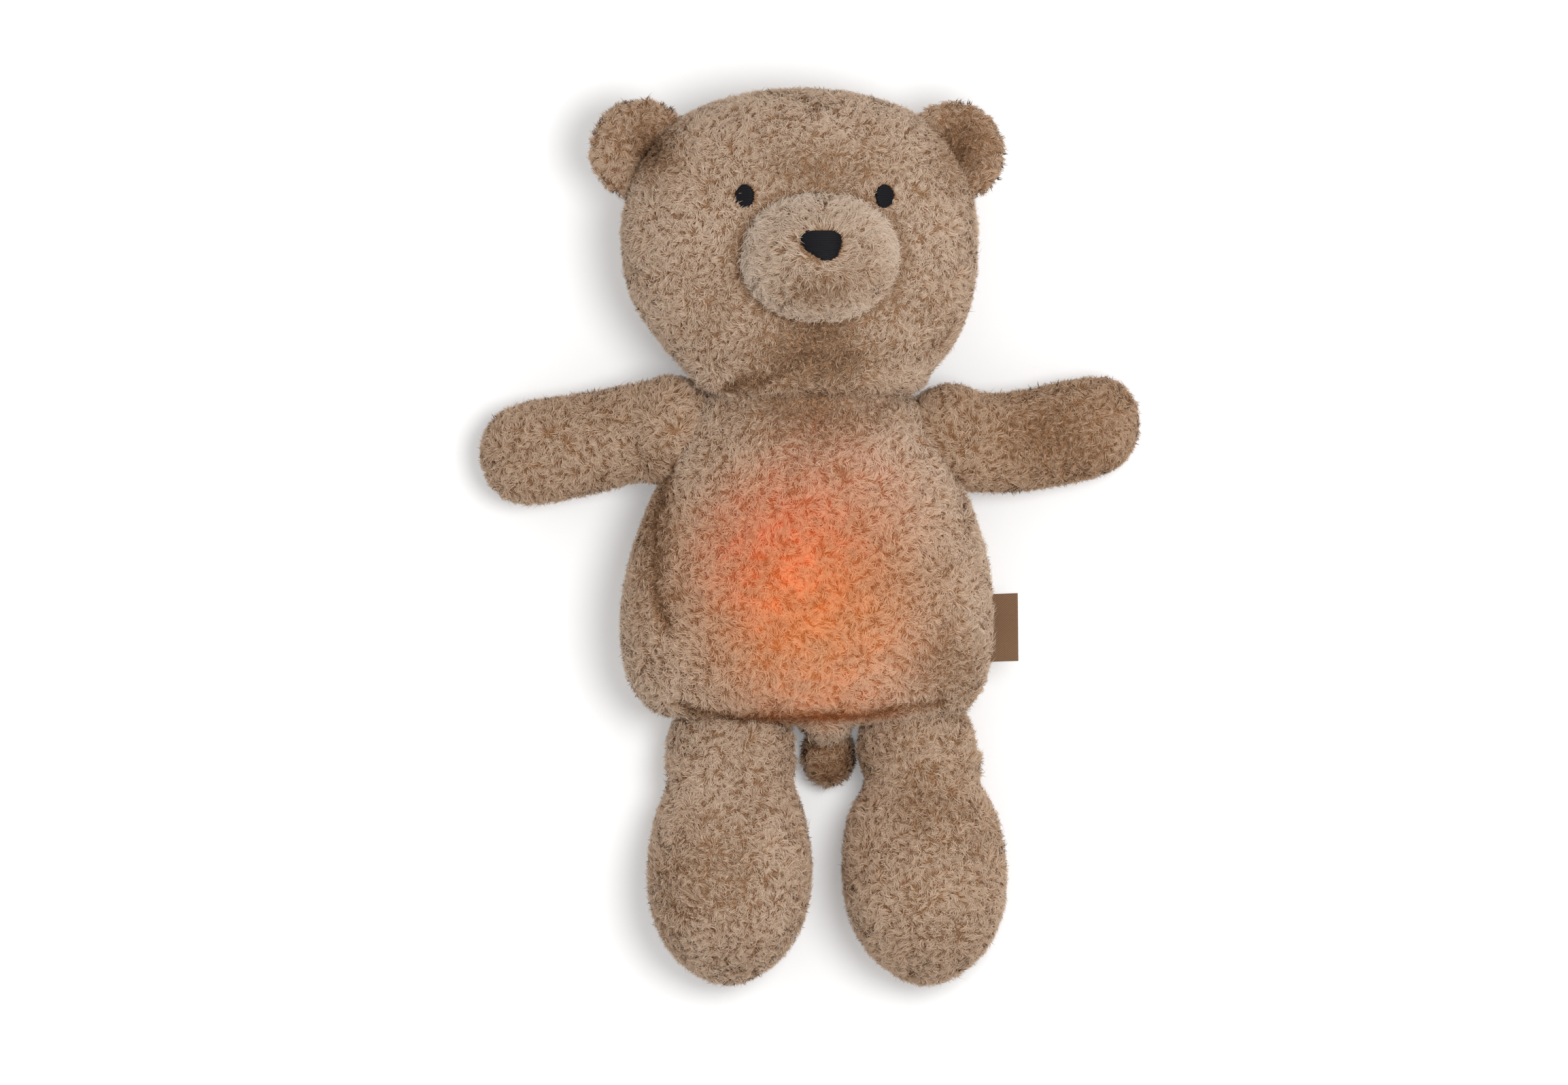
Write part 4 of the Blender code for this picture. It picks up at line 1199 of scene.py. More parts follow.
class BearStage(bpy.types.PropertyGroup):
    """Camera and lights"""
    lens: FloatProperty(name="Lens", description="Focal length in millimetres", default=700.0)
    picture_span: FloatProperty(
        name="Picture width", description="Width that the picture covers", default=0.5557, unit="LENGTH"
    )
    middle: FloatVectorProperty(
        name="Picture middle",
        description="Place under the camera",
        default=(-0.0092, -0.0019, 0.036),
        unit="LENGTH",
    )
    key_power: FloatProperty(name="Key light", description="Watts of the soft key light", default=8.2)
    fill_level: FloatProperty(
        name="Room light", description="Brightness of the light all round", default=0.58
    )


class PlushOperator:
    """What the operators share."""
    bl_options = {"REGISTER", "UNDO"}


# Pocket for the lamp, open in the back

flap_low, flap_high = corners("pocket_flap")
strips_low = corners("hook_strip")[0]
strips_high = corners("loop_strip")[1]
liner_low, liner_high = corners("pocket_liner")
lamp_middle = (liner_low + liner_high)[:2] / 2
liner_radius = (liner_high[0] - liner_low[0]) / 2
liner_wall = 0.0012
liner_ease = 0.001
liner_step = corners("ring_screw_1")[1][2] + 2 * seam_gap + liner_ease + liner_wall
dome_radius = corners("light_cap")[1][0] + socket_gap + liner_ease + liner_wall
# Half sizes of the pocket's mouth, and how square the mouth and the flap are
mouth_half = np.array((0.025, 0.015))
mouth_power = 7.0
slab_power = 9.0
# Depth of the lining's gathers, and how many go round it
lining_gather = 0.00018
lining_gathers = 26
# Radii of the lining's bends, at the foot and top of its wall and of its dome
wall_foot = 0.002
wall_top = 0.0015
dome_foot = 0.001
dome_top = 0.006
# Depth of the flap's recess, how far rims are rounded, and the room over the strips
recess_depth = 0.003
hollow_edge = 0.0002
flap_edge = 0.0005
strip_room = 0.002
# Bare strip of the body beyond the flap's hinge
hinge_gap = 0.003
# The hem's seam: its distance from the flap's edge, its thread and its stitches
hem_inset = 0.003
seam_width = 0.00035
stitch_length = 0.0022
stitch_gap = 0.0012
stitch_rise = 0.00012


def slab(low, high, edge):
    """A closed flat pad: squared rings, drawn in along a half circle round its rim."""
    middle = (low + high) / 2
    half = (high - low) / 2
    lean = np.linspace(-np.pi / 2, np.pi / 2, 9)
    inner = half[0] * np.array((0.7, 0.35))
    inset = np.concatenate((inner, edge * (1 - np.cos(lean)), inner[::-1]))
    level = np.concatenate(((-1, -1), np.sin(lean), (1, 1)))
    share = 1 - inset[:, None] / half[:2]
    outline = squared(full_turn(96), slab_power)
    grid = np.zeros((len(level), len(outline), 3))
    grid[..., :2] = middle[:2] + outline * half[:2] * np.maximum(share, 0.1)[:, None]
    grid[..., 2] = (middle[2] + half[2] * level)[:, None]
    tips = np.array(((*middle[:2], low[2]), (*middle[:2], high[2])))
    return closed_tube(grid, tips)


def turned(profile):
    """A closed form turned round the lamp's axis from rows of radius and height."""
    radius, height = np.array(profile).T
    turn = full_turn(64)
    grid = np.zeros((len(radius), len(turn), 3))
    grid[..., 0] = lamp_middle[0] + radius[:, None] * np.cos(turn)
    grid[..., 1] = lamp_middle[1] + radius[:, None] * np.sin(turn)
    grid[..., 2] = height[:, None]
    tips = np.array(((*lamp_middle, height[0]), (*lamp_middle, height[-1])))
    return closed_tube(grid, tips)


def pocket_hollows():
    """What the pocket and its flap take out of the stuffed body."""
    gap = np.full(3, seam_gap)
    recess = slab(flap_low - (*gap[:2], recess_depth), flap_high + gap, hollow_edge)
    strips = slab(strips_low - gap, strips_high + (seam_gap, seam_gap, strip_room), hollow_edge)
    mouth_low = np.array((*(lamp_middle - mouth_half), -recess_depth))
    mouth_high = np.array((*(lamp_middle + mouth_half), liner_low[2] + liner_wall))
    wide = liner_radius + seam_gap
    narrow = dome_radius + seam_gap
    base = liner_low[2] - seam_gap
    step = liner_step + seam_gap
    top = liner_high[2] + seam_gap
    case = ((wide * 0.5, base), (wide, base), (wide, step), (narrow, step))
    dome = ((narrow, top - dome_top), (narrow * 0.94, top - dome_top / 3), (narrow * 0.8, top))
    return [recess, strips, slab(mouth_low, mouth_high, hollow_edge), turned((*case, *dome))]


def lining_profile():
    """Rows of the lining from its mouth outwards, up its wall, in over the case and up the dome.

    Each row holds a share from the mouth's outline to the circle, the radius and the height.
    """
    wide = liner_radius - liner_wall / 2
    narrow = dome_radius - liner_wall / 2
    base = liner_low[2] + liner_wall / 2
    step = liner_step - liner_wall / 2
    top = liner_high[2] - liner_wall / 2
    bend = np.linspace(0, np.pi / 2, 6)
    rows = [(share, wide * 0.97, base) for share in np.linspace(0, 0.97, 8)]
    rows += [
        (1, wide - wall_foot * (1 - math.sin(a)), base + wall_foot * (1 - math.cos(a))) for a in bend
    ]
    rows += [(1, wide, height) for height in np.linspace(base + 0.004, step - 0.003, 14)]
    rows += [(1, wide - wall_top * (1 - math.cos(a)), step - wall_top * (1 - math.sin(a))) for a in bend]
    rows += [
        (1, narrow + dome_foot * (1 - math.sin(a)), step + dome_foot * (1 - math.cos(a))) for a in bend
    ]
    rows += [(1, narrow, height) for height in np.linspace(step + 0.003, top - 0.007, 8)]
    rows += [(1, narrow - dome_top * (1 - math.cos(a)), top - dome_top * (1 - math.sin(a))) for a in bend]
    rows += [(1, (narrow - dome_top) * share, top) for share in (0.75, 0.5, 0.25)]
    return np.array(rows)


def lining_surface():
    """The lining's rings, which turn from the squared mouth into circles, with fine gathers."""
    rows = lining_profile()
    turn = full_turn(128)
    around = len(turn)
    mouth = squared(turn, mouth_power) * mouth_half
    circle = squared(turn, 2.0)
    share = rows[:, 0][:, None, None]
    swell = np.sin(np.clip(rows[:, 0] * 3, 0, 1) * np.pi / 2)[:, None]
    radius = rows[:, 1][:, None] - np.abs(lining_gather * np.sin(lining_gathers * turn) * swell)
    grid = np.zeros((len(rows), around, 3))
    grid[..., :2] = lamp_middle + mouth * (1 - share) + circle * radius[..., None] * share
    grid[..., 2] = rows[:, 2][:, None]
    last = (len(rows) - 1) * around
    quads = ring_quads(np.arange(0, last, around)[:, None], around)[:, [0, 3, 2, 1]]
    points = np.vstack((grid.reshape(-1, 3), (*lamp_middle, rows[-1, 2])))
    here = np.arange(around)
    cap = np.stack((last + here, last + (here + 1) % around, np.full(around, len(points) - 1)), axis=-1)
    return points, quads.tolist() + cap.tolist()


def running_stitch(start, end):
    """Paths of the stitches along a seam, each rising a little out of the cloth at its middle."""
    start = np.asarray(start, float)
    span = np.asarray(end, float) - start
    reach = np.linalg.norm(span)
    step = stitch_length + stitch_gap
    count = int(reach // step)
    share = (np.arange(count)[:, None] * step + np.linspace(0, stitch_length, 7)) / reach
    paths = start + share[..., None] * span
    paths[..., 2] += stitch_rise * np.sin(np.linspace(0, np.pi, 7))
    return paths


def seam_thread():
    """Brown sewing thread with fine fibres."""
    nodes = Nodes("seam_thread")
    fibres = nodes.noise(3200.0, 2)
    shade = nodes.mix(fibres, (0.30, 0.20, 0.13), (0.46, 0.33, 0.23))
    nodes.bump(fibres, 0.00005, 0.6)
    return nodes.finish(Base_Color=shade, Roughness=0.6, Specular_IOR_Level=0.3)


def woven_lining():
    """Plain-weave cotton: threads over and under each other along X and Y or up the wall."""
    nodes = Nodes("pocket_cotton")
    warp, weft, cross = (
        nodes.add("TexWave", {"Vector": nodes.place(), "Scale": 420.0}, bands_direction=axis).outputs["Fac"]
        for axis in "XZY"
    )
    weave = nodes.math("MAXIMUM", nodes.math("MULTIPLY", warp, cross), nodes.math("MULTIPLY", weft, warp))
    slubs = nodes.noise(240.0, 4)
    shade = nodes.mix(weave, (0.50, 0.42, 0.33), (0.66, 0.58, 0.48))
    shade = nodes.mix(nodes.math("MULTIPLY", slubs, 0.4), shade, (0.58, 0.47, 0.36))
    nodes.bump(weave, 0.00015, 0.7)
    return nodes.finish(Base_Color=shade, Roughness=0.9, Specular_IOR_Level=0.15, Sheen_Weight=0.2)


class BEAR_OT_pocket(PlushOperator, bpy.types.Operator):
    """Cotton lining round the lamp and the hemmed flap that closes it"""
    bl_idname = "bear.pocket"
    bl_label = "Pocket and flap"

    def execute(self, context):
        lining = mesh_object("pocket_lining", *lining_surface(), woven_lining())
        walled(lining, liner_wall * 0.9)
        fitted(lining, "torso", "pocket_liner")
        colour = with_painted_shade(context.scene.bear_pile.colour, painted_shade_shares["flap"])
        surface = slab(flap_low, flap_high, flap_edge)
        flap = mesh_object("flap_cloth", *surface, cloth_material("flap_knit", colour))
        fitted(flap, "flap", "pocket_flap")
        left, low = flap_low[:2] + hem_inset
        right, high = flap_high[:2] - hem_inset
        hem = [(x, y, flap_high[2]) for x, y in ((left, low), (right, low), (right, high), (left, high))]
        seams = [running_stitch(start, end) for start, end in zip(hem, (*hem[1:], hem[0]))]
        layers = [tubes(paths, seam_width, seam_width) for paths in seams]
        stitches = mesh_object("flap_hem_stitches", *joined(layers), seam_thread())
        fitted(stitches, "flap")
        fur = pile_material("flap_pile", colour)
        pile_on_it = sprout("flap", surface, [], "flap", fur, keep=below_the_flap, length=0.5)
        return {"FINISHED"}


def below_the_flap(places):
    """True on the flap's outer side."""
    return places[:, 2] < (flap_low[2] + flap_high[2]) / 2


# Stuffed parts

# Low corner, step and number of the cells over the front that the belly's light is baked in
front_low = (-0.09, -0.09)
front_step = 0.18 / 60
front_cells = 60
# The muzzle's pile fans out from a middle below the nose, and gets a painted highlight down the
# wall under its brow
muzzle_fan_drop = 0.004
muzzle_brow = muzzle_high[2] - 0.004
muzzle_wall = 0.010
# How deep an ear is pressed in, where and how wide, as shares of its size
ear_press = 1.35
ear_hollow = 0.22
ear_hollow_width = 0.62


class BEAR_OT_body(PlushOperator, bpy.types.Operator):
    """Stuffed body with its neck, sockets, glowing belly and pile"""
    bl_idname = "bear.body"
    bl_label = "Body"

    def execute(self, context):
        colour = tuple(context.scene.bear_pile.colour)
        cloth = cloth_material("body_cloth", colour, lit=True)
        middle_x = sum(pivot[0] for pivot in hip_pivots.values()) / 2
        crotch = Ball(
            (middle_x, body_bottom + crotch_drop, crotch_depth / 2 + crotch_lift),
            (crotch_width / 2, 2 * crotch_drop, crotch_depth / 2),
        )
        balls = (*shoulder_balls.values(), *hip_balls.values())
        surface = folded(body.surface(160, 110), fold_depth)
        joins = [neck_ball.surface(), crotch.surface()]
        cuts = [*(ball.surface(growth=socket_gap) for ball in balls), *pocket_hollows()]
        stuffed_skin("body_skin", "body_plush", surface, "torso", cloth, join=joins, cut=cuts)
        fur = pile_material("belly_pile", colour, lit=True)
        others = [head, *arms.values(), *legs.values(), *balls]
        cells = (np.array(front_low), front_step, front_cells)
        split = front_and_back(0)
        sprout("body", surface, others, "torso", fur, split=split, cells=cells, keep=off_the_flap)
        sprout("crotch", crotch.surface(), [body, *others], "torso", fur, cells=cells)
        sprout("neck", neck_ball.surface(), [body, *others], "torso", fur, cells=cells, length=0.8)
        return {"FINISHED"}


def off_the_flap(places):
    """Keeps the body's pile off the flap, and a little further off where it turns."""
    low, high = flap_low[:2] - seam_gap, flap_high[:2] + (seam_gap, hinge_gap)
    inside = (places[:, :2] > low).all(1) & (places[:, :2] < high).all(1)
    return ~(inside & (places[:, 2] < 0.01))


def face_patches():
    """Middle and half sizes of the two eyes and the nose, seen from the front."""
    patches = {}
    for name in ("eye_left", "eye_right", "nose"):
        low, high = corners(name)
        patches[name] = ((low[:2] + high[:2]) / 2, (high[:2] - low[:2]) / 2)
    return patches


# No strand roots inside this outline round the embroidery, given as a share of its size
bare_power = 2.2
bare_level = 0.78


def off_the_face(places):
    """Keeps strands from rooting in the embroidery."""
    clear = places[:, 2] < head_depth / 2
    apart = np.ones(len(places), bool)
    for middle, half in face_patches().values():
        apart &= (np.abs((places[:, :2] - middle) / half) ** bare_power).sum(1) > bare_level
    return clear | apart


class BEAR_OT_head(PlushOperator, bpy.types.Operator):
    """Stuffed head with its pile, open where the neck turns in it"""
    bl_idname = "bear.head"
    bl_label = "Head"

    def execute(self, context):
        colour = tuple(context.scene.bear_pile.colour)
        cloth = cloth_material("head_cloth", colour)
        surface = folded(head.surface(160, 110), fold_depth)
        socket = neck_ball.surface(growth=socket_gap)
        stuffed_skin("head_skin", "head_plush", surface, "head", cloth, cut=[socket])
        fur = pile_material("head_pile", colour)
        split = front_and_back(head_x)
        sprout(
            "head",
            surface,
            [neck_ball, muzzle],
            "head",
            fur,
            split=split,
            keep=off_the_face,
            beside=muzzle,
            relief=0.85,
        )
        return {"FINISHED"}


class BEAR_OT_muzzle(PlushOperator, bpy.types.Operator):
    """Raised muzzle of longer pile, with a painted highlight down its wall"""
    bl_idname = "bear.muzzle"
    bl_label = "Muzzle"

    def execute(self, context):
        colour = tuple(context.scene.bear_pile.muzzle_colour)
        cloth = cloth_material("muzzle_cloth", colour)
        surface = muzzle.surface(72, 40)
        stuffed_skin("muzzle_skin", "muzzle", surface, "head", cloth)
        fur = pile_material("muzzle_pile", colour)
        nose_low, nose_high = corners("nose")
        middle = (nose_low + nose_high) / 2 - (0, muzzle_fan_drop, 0)
        sprout(
            "muzzle",
            surface,
            [head],
            "head",
            fur,
            length=1.2,
            keep=off_the_face,
            fan=middle,
            sky=1.5,
            # Painted highlight down the muzzle's wall under its brow
            brighter=lambda places: np.clip((muzzle_brow - places[:, 2]) / muzzle_wall, 0, 1),
        )
        return {"FINISHED"}


class BEAR_OT_ears(PlushOperator, bpy.types.Operator):
    """Two flat ears with hollow fronts, darkened with painted shade and most in the hollows"""
    bl_idname = "bear.ears"
    bl_label = "Ears"

    def execute(self, context):
        colour = with_painted_shade(context.scene.bear_pile.colour, painted_shade_shares["ear"])
        cloth = cloth_material("ear_cloth", colour)
        fur = pile_material("ear_pile", colour)
        for side in sides:
            ear = ear_form(side)
            surface = hollowed(ear.surface(72, 40), ear, side)
            stuffed_skin(f"ear_{side}_skin", "ear_" + side, surface, "head", cloth)
            sprout(f"ear_{side}", surface, [head], "head", fur, length=0.95, density=1.3)
        return {"FINISHED"}


def ear_form(side):
    """An ear: a flat round ball in the outer upper corner of its node."""
    low, high = corners("ear_" + side)
    radius = ear_width / 2
    middle_x = low[0] + radius if side == "left" else high[0] - radius
    centre = np.array((middle_x, high[1] - radius, (low[2] + high[2]) / 2)) + ear_shift[side]
    return Ball(centre, (radius, radius, (high[2] - low[2]) / 2))


def hollowed(surface, ear, side):
    """Presses an ear's front in round a place near the head: a bell curve of the distance from it."""
    points, faces = surface
    points = points.copy()
    inward = 1 if side == "left" else -1
    hollow = ear.centre[:2] + (inward * ear_hollow * ear.radii[0], -ear_hollow * ear.radii[1])
    apart = np.linalg.norm(points[:, :2] - hollow, axis=1) / ear.radii[0]
    upper = np.maximum(points[:, 2] - ear.centre[2], 0)
    points[:, 2] -= ear_press * upper * np.exp(-((apart / ear_hollow_width) ** 2))
    return points, faces


class BEAR_OT_arms(PlushOperator, bpy.types.Operator):
    """Two stuffed arms, each turning on its shoulder"""
    bl_idname = "bear.arms"
    bl_label = "Arms"

    def execute(self, context):
        build_limbs(context, "arm", arms, shoulder_balls)
        return {"FINISHED"}


class BEAR_OT_legs(PlushOperator, bpy.types.Operator):
    """Two stuffed legs, each turning on its hip"""
    bl_idname = "bear.legs"
    bl_label = "Legs"

    def execute(self, context):
        build_limbs(context, "leg", legs, hip_balls)
        return {"FINISHED"}


# Limbs and tail have deeper tones between their curls: more chance between tufts and deeper painted shade at
# the tufts' rims
limb_relief = 1.25


def build_limbs(context, kind, forms, balls):
    """A pair of limbs, each with its root ball, in the pile's colour darkened with painted shade for each
    side.
    """
    for side, form in forms.items():
        limb = f"{kind}_{side}"
        colour = with_painted_shade(context.scene.bear_pile.colour, painted_shade_shares[limb])
        cloth = cloth_material(limb + "_cloth", colour)
        fur = pile_material(limb + "_pile", colour)
        surface = form.surface(64, 56)
        root = balls[side].surface()
        stuffed_skin(limb + "_skin", limb, surface, f"{side}_{kind}", cloth, join=[root])
        inside = [balls[side], body, head]
        sprout(limb, surface, inside, f"{side}_{kind}", fur, relief=limb_relief)
        sprout(limb + "_root", root, [form, body, head], f"{side}_{kind}", fur, relief=limb_relief)


class BEAR_OT_tail(PlushOperator, bpy.types.Operator):
    """Round stub tail below the body"""
    bl_idname = "bear.tail"
    bl_label = "Tail"

    def execute(self, context):
        low, high = corners("tail")
        middle = (low + high) / 2
        half = (high - low) / 2
        ball = Ball((middle[0], low[1] + tail_length / 2, middle[2]), (half[0], tail_length / 2, half[2]))
        surface = ball.surface(32, 16)
        colour = with_painted_shade(context.scene.bear_pile.colour, painted_shade_shares["tail"])
        stuffed_skin("tail_skin", "tail", surface, "torso", cloth_material("tail_cloth", colour))
        sprout("tail", surface, [body], "torso", pile_material("tail_pile", colour), relief=limb_relief)
        return {"FINISHED"}


# Embroidery

thread_width = 0.00046
thread_pitch = 0.00038
thread_lift = 0.0013
thread_flatness = 0.7
# Chance in where stitches end, as a share of the half width, and in their slant, of the pitch
end_stray = 0.06
slant_stray = 0.12
# How much the middle of a patch stands above its first and last stitch
swell_share = 0.3
underlay_size = 0.9
underlay_lift = 0.5
# Place up the muzzle where it is widest
muzzle_widest = 0.36


def tubes(paths, wide, thick):
    """Closed threads along paths of points: flat-round sections square to the path, tapering to
    both ends. Wide is across the thread and level, and thick is upright."""
    count, steps = paths.shape[:2]
    around = 6
    tangent = unit(np.gradient(paths, axis=1))
    level = unit(np.cross(tangent, (0, 0, 1)))
    upright = np.cross(level, tangent)
    turn = full_turn(around)
    share = np.linspace(-1, 1, steps)
    taper = (np.sqrt(1 - share ** 8) * 0.95 + 0.05)[None, :, None, None]
    across = level[:, :, None] * (np.cos(turn) * wide / 2)[:, None]
    rise = upright[:, :, None] * (np.sin(turn) * thick / 2)[:, None]
    rings = paths[:, :, None] + (across + rise) * taper
    points = rings.reshape(-1, 3)
    thread = np.arange(count)[:, None, None] * steps * around
    row = np.arange(steps - 1)[None, :, None] * around
    here = np.arange(around)
    first = (thread[:, 0] + here).tolist()
    last = (thread[:, 0] + (steps - 1) * around + here[::-1]).tolist()
    return points, ring_quads(thread + row, around).tolist() + first + last


def satin(middle, half, outline, ground, lift, pitch, rng):
    """Level stitches one below another across an outline, each lifted off the ground at its middle.

    The outline gives a stitch's two ends, as shares of the half width, for its place up the patch.
    """
    count = int(2 * half[1] / pitch)
    place = (np.arange(count) + 0.5) / count * 2 - 1
    low, high = outline(place)
    stray = rng.uniform(-end_stray, end_stray, (2, count))
    share = np.linspace(0, 1, 15)
    reach = (low + stray[0])[:, None] * (1 - share) + (high + stray[1])[:, None] * share
    paths = np.zeros((count, len(share), 3))
    paths[..., 0] = middle[0] + half[0] * reach
    slant = rng.normal(0, slant_stray, count)[:, None] * pitch * (share - 0.5)
    paths[..., 1] = (middle[1] + half[1] * place)[:, None] + slant
    level = ground(paths.reshape(-1, 3)).reshape(count, -1)
    rise = 1 - swell_share + swell_share * np.sqrt(1 - place ** 2)
    paths[..., 2] = level + (1 - (2 * share - 1) ** 6) * lift * rise[:, None]
    return paths


def round_outline(place):
    """Ends of the stitches over an oval."""
    edge = np.sqrt(1 - place ** 2)
    return -edge, edge


# Places up the nose from -1 to 1, and there the nose's left and right ends as shares
nose_places = (-1.0, -0.75, -0.4, 0.0, 0.4, 0.75, 0.93, 1.0)
nose_left = (0.05, -0.25, -0.66, -0.90, -1.0, -0.97, -0.84, -0.66)
nose_right = (0.50, 0.70, 0.87, 0.97, 1.0, 0.97, 0.82, 0.50)


def nose_outline(place):
    """Ends of the stitches over a soft triangle, widest near its top and leaning right at its foot."""
    return smooth_through(nose_places, np.stack((nose_left, nose_right), axis=1), place).T


def muzzle_height(points):
    """Height of the muzzle's skin over (x, y), from its rings' half sizes."""
    middle = muzzle.table[1, :2]
    place = np.linspace(muzzle_widest, 1, 60)
    half = smooth_through(muzzle.knots, muzzle.table, np.arccos(1 - 2 * place))[:, 2:]
    apart = np.abs(points[:, :2] - middle) / (muzzle_high - muzzle_low)[:2] * 2
    level = (apart ** top_power).sum(1) ** (1 / top_power)
    share = half[:, 0] / half[:, 0].max()
    return muzzle.start + muzzle.length * np.interp(level, share[::-1], place[::-1])


def thread_material():
    """Black viscose thread: glossy along fine fibres, with a little dust-brown lift."""
    nodes = Nodes("black_thread")
    fibres = nodes.noise(2600.0, 2)
    shade = nodes.mix(fibres, (0.003, 0.003, 0.004), (0.014, 0.014, 0.017))
    nodes.bump(fibres, 0.00008, 0.6)
    return nodes.finish(Base_Color=shade, Roughness=0.5, Specular_IOR_Level=0.12)


class BEAR_OT_embroidery(PlushOperator, bpy.types.Operator):
    """Satin-stitched eyes and nose over their underlay"""
    bl_idname = "bear.embroidery"
    bl_label = "Embroidery"

    def execute(self, context):
        thread = thread_material()
        rng = np.random.default_rng(5)
        for name, (middle, half) in face_patches().items():
            ground = muzzle_height if name == "nose" else head.height
            outline = nose_outline if name == "nose" else round_outline
            layers = []
            for size, lift in ((underlay_size, underlay_lift), (1, 1)):
                paths = satin(middle, half * size, outline, ground, thread_lift * lift, thread_pitch, rng)
                layers.append(tubes(paths, thread_width, thread_width * thread_flatness))
            stitches = mesh_object(name + "_stitches", *joined(layers), thread)
            fitted(stitches, "head", name)
        return {"FINISHED"}


def joined(surfaces):
    """Several sets of points and faces as one."""
    points = []
    faces = []
    count = 0
    for part, part_faces in surfaces:
        points.append(part)
        faces += [[index + count for index in face] for face in part_faces]
        count += len(part)
    return np.vstack(points), faces


# Side label

label_thickness = 0.0004
label_tilt = math.radians(2)
label_fold = label_thickness * 1.2
# What the side seam holds of the tape, and how far its free end leans and waves
label_held = 0.004
label_lean = 0.0006
label_wave = 0.0009


class BEAR_OT_label(PlushOperator, bpy.types.Operator):
    """Folded twill tape, bare, sewn into the side seam"""
    bl_idname = "bear.label"
    bl_label = "Side label"

    def execute(self, context):
        low, high = corners("side_label")
        inner = low[0] - label_held
        outer = high[0]
        level = (low[2] + high[2]) / 2
        straight = np.linspace(inner, outer - label_fold, 22)
        bend = np.linspace(-np.pi / 2, np.pi / 2, 11)[1:-1]
        end = outer - label_fold + label_fold * np.cos(bend)
        x = np.concatenate((straight, end, straight[::-1]))
        z = np.concatenate((0 * straight - label_fold, label_fold * np.sin(bend), 0 * straight + label_fold))
        width = high[1] - low[1] - label_tilt * (high[0] - low[0])
        outer -= label_tilt * width / 2
        y = np.linspace(-width / 2, width / 2, 30)
        grid = np.zeros((len(x), len(y), 3))
        reach = ((x - inner) / (outer - inner))[:, None]
        grid[..., 0] = x[:, None] + label_lean * (y / width)
        grid[..., 1] = (low[1] + high[1]) / 2 + y
        wave = label_wave * np.sin(2.2 * y / width * np.pi + 0.6)
        grid[..., 2] = level + z[:, None] + wave * reach ** 2
        turn = label_tilt * (grid[..., 0] - high[0] / 2 - inner / 2)
        grid[..., 0] -= label_tilt * y
        grid[..., 1] += turn
        count = np.arange(len(x) - 1)[:, None] * len(y) + np.arange(len(y) - 1)
        faces = np.stack((count, count + len(y), count + len(y) + 1, count + 1), axis=-1).reshape(-1, 4)
        mesh = bpy.data.meshes.new("side_label_tape")
        mesh.from_pydata(grid.reshape(-1, 3).tolist(), [], faces.tolist())
        mesh.shade_smooth()
        tape = placed("side_label_tape", mesh, tape_material())
        walled(tape, label_thickness)
        fitted(tape, "torso", "side_label")
        return {"FINISHED"}


def tape_material():
    """Brown twill: fine diagonal ribs, paler along their tops."""
    nodes = Nodes("label_twill")
    slanted = {"Vector": nodes.place(), "Rotation": (0, 0, math.radians(52)), "Scale": (1, 1, 0.0)}
    slanted = nodes.add("Mapping", slanted).outputs[0]
    twill = {"Vector": slanted, "Scale": 520.0, "Distortion": 0.6, "Detail": 1.0}
    ribs = nodes.add("TexWave", twill).outputs["Fac"]
    fibres = nodes.noise(1500.0, 3)
    shade = nodes.mix(ribs, (0.135, 0.066, 0.030), (0.240, 0.130, 0.066))
    shade = nodes.mix(nodes.math("MULTIPLY", fibres, 0.35), shade, (0.28, 0.17, 0.10))
    nodes.bump(ribs, 0.00012, 0.8)
    return nodes.finish(Base_Color=shade, Roughness=0.75, Specular_IOR_Level=0.25, Sheen_Weight=0.15)


# Lamp


def moulded(name, colour, roughness=0.45):
    """Moulded plastic: a fine sparked grain, faint flow marks and rubbed places."""
    nodes = Nodes(name)
    grain = nodes.noise(1800.0, 2)
    flow = nodes.noise(70.0, 4)
    shade = nodes.mix(flow, scaled(colour, 0.90), scaled(colour, 1.06))
    rough = nodes.math("MULTIPLY_ADD", flow, 0.18, roughness - 0.09)
    nodes.bump(grain, 0.00006, 0.5)
    return nodes.finish(Base_Color=shade, Roughness=rough, Specular_IOR_Level=0.4)


def drawn_steel(name, colour, roughness=0.28):
    """Plated steel: fine drawing lines and a little tarnish."""
    nodes = Nodes(name)
    stretched = nodes.add("Mapping", {"Vector": nodes.place(), "Scale": (1.0, 8.0, 1.0)}).outputs[0]
    lines = nodes.noise(700.0, 3, stretched)
    tarnish = nodes.noise(120.0, 4)
    shade = nodes.mix(nodes.math("MULTIPLY", tarnish, 0.5), colour, scaled(colour, 0.6))
    rough = nodes.math("MULTIPLY_ADD", lines, 0.2, roughness - 0.1)
    nodes.bump(lines, 0.00003, 0.4)
    return nodes.finish(Base_Color=shade, Roughness=rough, Metallic=1.0)


def circuit_lacquer():
    """Green lacquer over copper tracks, with the glass weave just showing."""
    nodes = Nodes("board_lacquer")
    pads = nodes.cells(260.0, "CHEBYCHEV")
    bricks = {"Vector": nodes.place(), "Scale": 160.0, "Mortar Size": 0.05}
    tracks = nodes.add("TexBrick", bricks).outputs["Fac"]
    weave = nodes.noise(1400.0, 2)
    shade = nodes.mix(weave, (0.012, 0.085, 0.035), (0.020, 0.125, 0.055))
    shade = nodes.mix(nodes.math("MULTIPLY", tracks, 0.7), shade, (0.045, 0.210, 0.085))
    copper = nodes.math("LESS_THAN", pads, 0.16)
    shade = nodes.mix(copper, shade, (0.62, 0.58, 0.50))
    nodes.bump(tracks, 0.00005, 0.5)
    return nodes.finish(Base_Color=shade, Roughness=0.32, Specular_IOR_Level=0.5)


